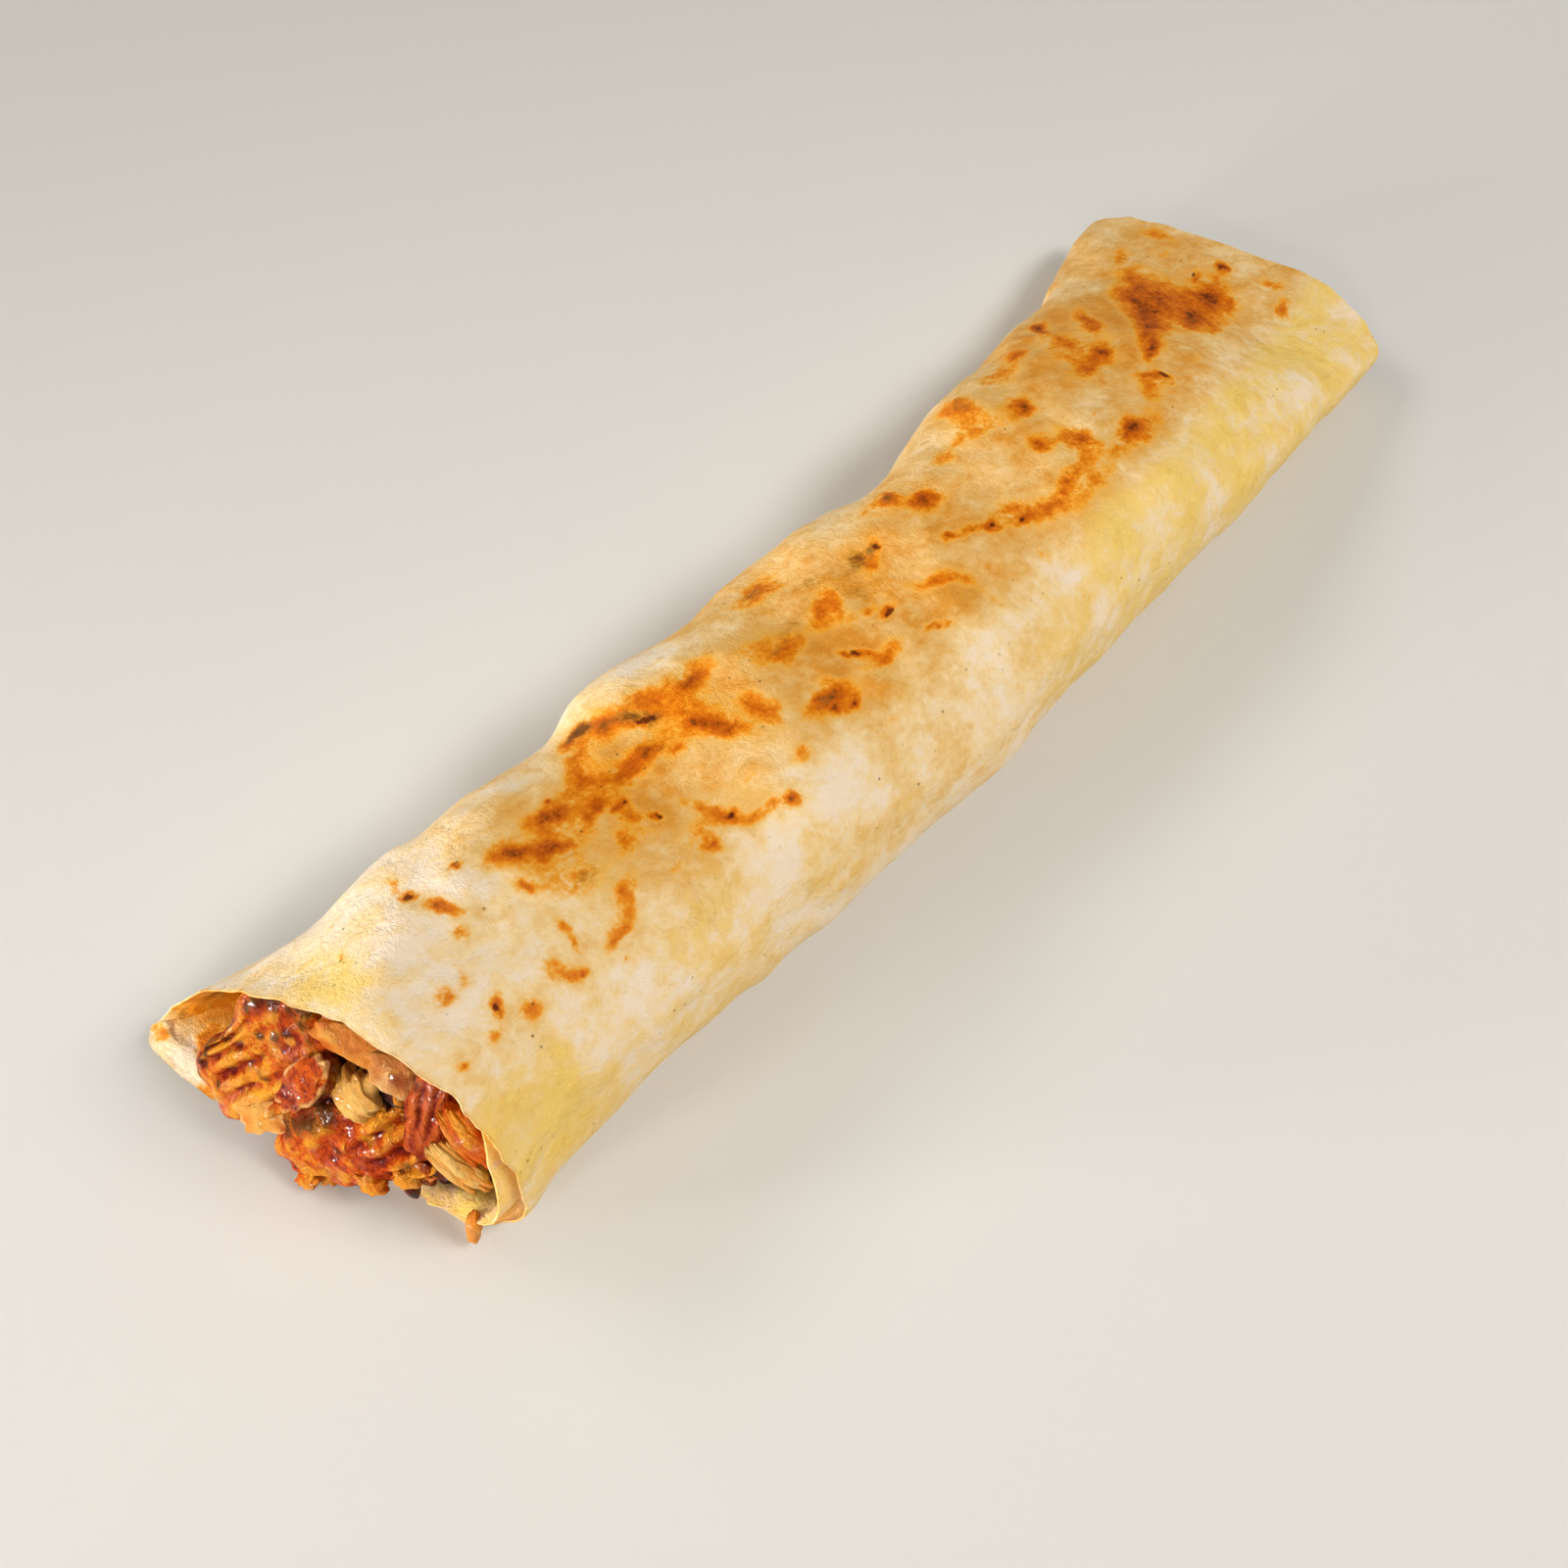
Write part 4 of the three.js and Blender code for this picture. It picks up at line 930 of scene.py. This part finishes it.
# How much of the roll's section the heap fills, by place along it.
HEAP_SHARE = [
    (-9, 0.05), (-8.6, 0.35), (-8, 0.62), (-4, 0.87), (2, 1), (284, 0.97), (288, 0.88), (289.5, 0.5),
    (290, 0.05),
]
CORE_SEGMENTS, CORE_RINGS = 120, 170
MOUTH_BITS, FAR_BITS = 76, 24
BITS_HALF_WIDTH, BITS_HALF_HEIGHT = 20, 15
BIT_TURN = 2.4  # from one bit to the next round the mouth, which spreads them evenly
HEAP_SEED = 41


def heap_depth(x, angle):
    """How far inside the roll's skin the heap's core lies: more in the pocket and under the lip."""
    bread = 2 * SHEET + LAYER_GAP + 0.7
    pocket = MOUTH_POCKET * bell(x, -14, 30) * smoothstep(0.25, 0.9, -np.sin(angle))
    lower_right = smoothstep(0.1, 0.5, np.sin(angle) * np.cos(angle))
    lip = (LIP_LIFT + 1) * bell(x, -8, LIP_REACH) * lower_right
    crags = 0.9 * np.maximum(0, np.sin(x / 3.7 + 4 * angle)) * np.maximum(0, np.sin(x / 7 - 3 * angle))
    return bread + pocket + lip + crags


def heap_core():
    """One closed lump that fills the roll, its near end leaning back and ragged."""
    bpy.ops.mesh.primitive_uv_sphere_add(segments=CORE_SEGMENTS, ring_count=CORE_RINGS, radius=1)
    core = bpy.context.object
    ball = points_of(core)
    share = np.arccos(np.clip(ball[:, 2], -1, 1)) / math.pi
    x = FILLING_START + (FILLING_END - FILLING_START) * share**1.6
    angle = np.arctan2(ball[:, 1], ball[:, 0])
    skin = roll_point(x, angle, heap_depth(x, angle))
    skin[:, 2] = np.maximum(skin[:, 2], heap_depth(x, angle))
    middle = np.stack([x, along(CROWN, x) + 4, along(HEIGHT, x) * 0.46], axis=-1)
    skin = middle + (skin - middle) * along(HEAP_SHARE, x)[:, None]
    leaning = smoothstep(25, -2, x)
    skin[:, 0] += leaning * (0.36 * (skin[:, 2] - 20) - 0.2 * (skin[:, 1] - 28))
    shaken = crumple(skin, 5, 51, 3)
    skin[:, 0] -= leaning * 1.2 * shaken
    skin = keep_inside(skin, CORE_DEPTH)
    shape_to(core, skin)
    plain = np.zeros(len(skin))
    # Darker towards the mouth: painted shade of the hollow between the pieces there.
    paint(core, crest=np.clip(0.2 + 0.3 * shaken, 0, 1), rim=plain,
          dark=np.maximum(spotted(skin, DARK_STAIN_AND_SHADE_SPOTS), 0.6 * smoothstep(20, 5, x)), gold=plain)
    return core


def chopped_heap():
    bits = [heap_core()]
    draw = np.random.default_rng(HEAP_SEED)
    for i in range(MOUTH_BITS + FAR_BITS):
        ring, turn = math.sqrt((i % MOUTH_BITS + 0.5) / MOUTH_BITS), i * BIT_TURN
        if i < MOUTH_BITS:
            y, z = ring * math.cos(turn) * BITS_HALF_WIDTH, ring * math.sin(turn) * BITS_HALF_HEIGHT
            at = (-6.5 + 0.36 * z - 0.2 * y + draw.uniform(-1, 2), 28 + y, 21 + z)
        else:
            at = (FILLING_END - 1.5 + draw.uniform(-1, 1), 40 + draw.uniform(-30, 30),
                  9.3 + draw.uniform(-3.5, 3.5))
        long = draw.uniform(3.5, 8.5)
        bits.append(lump(
            at, draw.uniform(-1, 1, 3), (-1, draw.uniform(-0.6, 0.6), draw.uniform(-0.2, 1)),
            (long, long * draw.uniform(0.4, 0.7), long * draw.uniform(0.25, 0.45)), int(draw.integers(1, 90)),
            boxy=2.6, crag=0.14, rough=0.35, tone=draw.uniform(-0.3, 0.1), depth=BIT_DEPTH, detail=4))
    heap = joined("filling_heap", bits)
    finish_with(heap, glazed_meat("sauced_chopped_meat", **MEATS["sauced_chopped_meat"]))
    settle(heap, "filling")


# ---- The studio -----------------------------------------------------------------------------

# Each light's name, place, aim, size, power, colour and spread in degrees.
SOFTBOXES = [
    ("key_softbox", (0.3, -0.85, 1.05), (0, 0, 0), (0.6, 0.4), 12.0, (1.0, 0.98, 0.95), 180),
    ("left_softbox", (-0.3, 0.9, 0.9), (0, 0, 0), (0.7, 0.4), 5, (1.0, 0.985, 0.96), 180),
    ("mouth_softbox", (-0.95, -0.45, 0.55), (-0.14, 0, 0.02), (0.16, 0.12), 2.2, (1.0, 0.98, 0.95), 180),
    ("low_softbox", (-1.15, 0.15, 0.15), (-0.14, 0, 0.02), (0.20, 0.14), 0.5, (1.0, 0.97, 0.93), 40),
    ("low_left_softbox", (-0.95, 0.6, 0.14), (-0.14, 0.01, 0.02), (0.18, 0.12), 0.34, (1.0, 0.97, 0.93), 40),
]
AIR_COLOUR, AIR_STRENGTH = (1.0, 0.955, 0.895, 1), 0.22
FLOOR_SIZE, FLOOR_DROP = 6, 0.0003

# The photo's viewpoint and aim, from the mouth's corner as all sizes are, and its lens.
PHOTO_EYE, PHOTO_AIM = (-50.456, -103.147, 267.473), (103.04, 27.71, 0.0)
PHOTO_LENS, PHOTO_SENSOR, NEAREST = 36.56, 36, 0.01


def stand(name, data, place, aim):
    """Puts a light or a camera at its place, turned to its aim."""
    holder = bpy.data.objects.new(name, data)
    holder.location = place
    holder.rotation_euler = (Vector(aim) - Vector(place)).to_track_quat("-Z", "Y").to_euler()
    bpy.context.scene.collection.objects.link(holder)
    return holder


def studio():
    bpy.ops.mesh.primitive_plane_add(size=FLOOR_SIZE, location=(0, 0, -FLOOR_DROP))
    floor = named("studio_floor")
    f = Finish("pale_studio_floor")
    f.set(Base_Color=tint(214, 212, 207), Roughness=0.8)
    floor.data.materials.append(f.material)

    for name, place, aim, size, power, colour, spread in SOFTBOXES:
        light = bpy.data.lights.new(name, "AREA")
        light.spread = math.radians(spread)
        light.shape = "RECTANGLE"
        light.size, light.size_y = size
        light.energy = power
        light.color = colour
        stand(name, light, place, aim)
    world = bpy.data.worlds.new("studio_air")
    world.use_nodes = True
    air = world.node_tree.nodes["Background"]
    air.inputs["Color"].default_value = AIR_COLOUR
    air.inputs["Strength"].default_value = AIR_STRENGTH
    bpy.context.scene.world = world
    bpy.context.scene.view_settings.view_transform = "Standard"


def camera():
    eye, aim = ((np.array(point) - ROW_ORIGIN) * MM for point in (PHOTO_EYE, PHOTO_AIM))
    lens = bpy.data.cameras.new("photo_camera")
    lens.lens, lens.sensor_width = PHOTO_LENS, PHOTO_SENSOR
    lens.clip_start = NEAREST
    bpy.context.scene.camera = stand("photo_camera", lens, eye, aim)


# ---- Making it ------------------------------------------------------------------------------

bpy.ops.object.select_all(action="DESELECT")
studio()
camera()
rolled_bread()
chopped_heap()
meat_pieces()
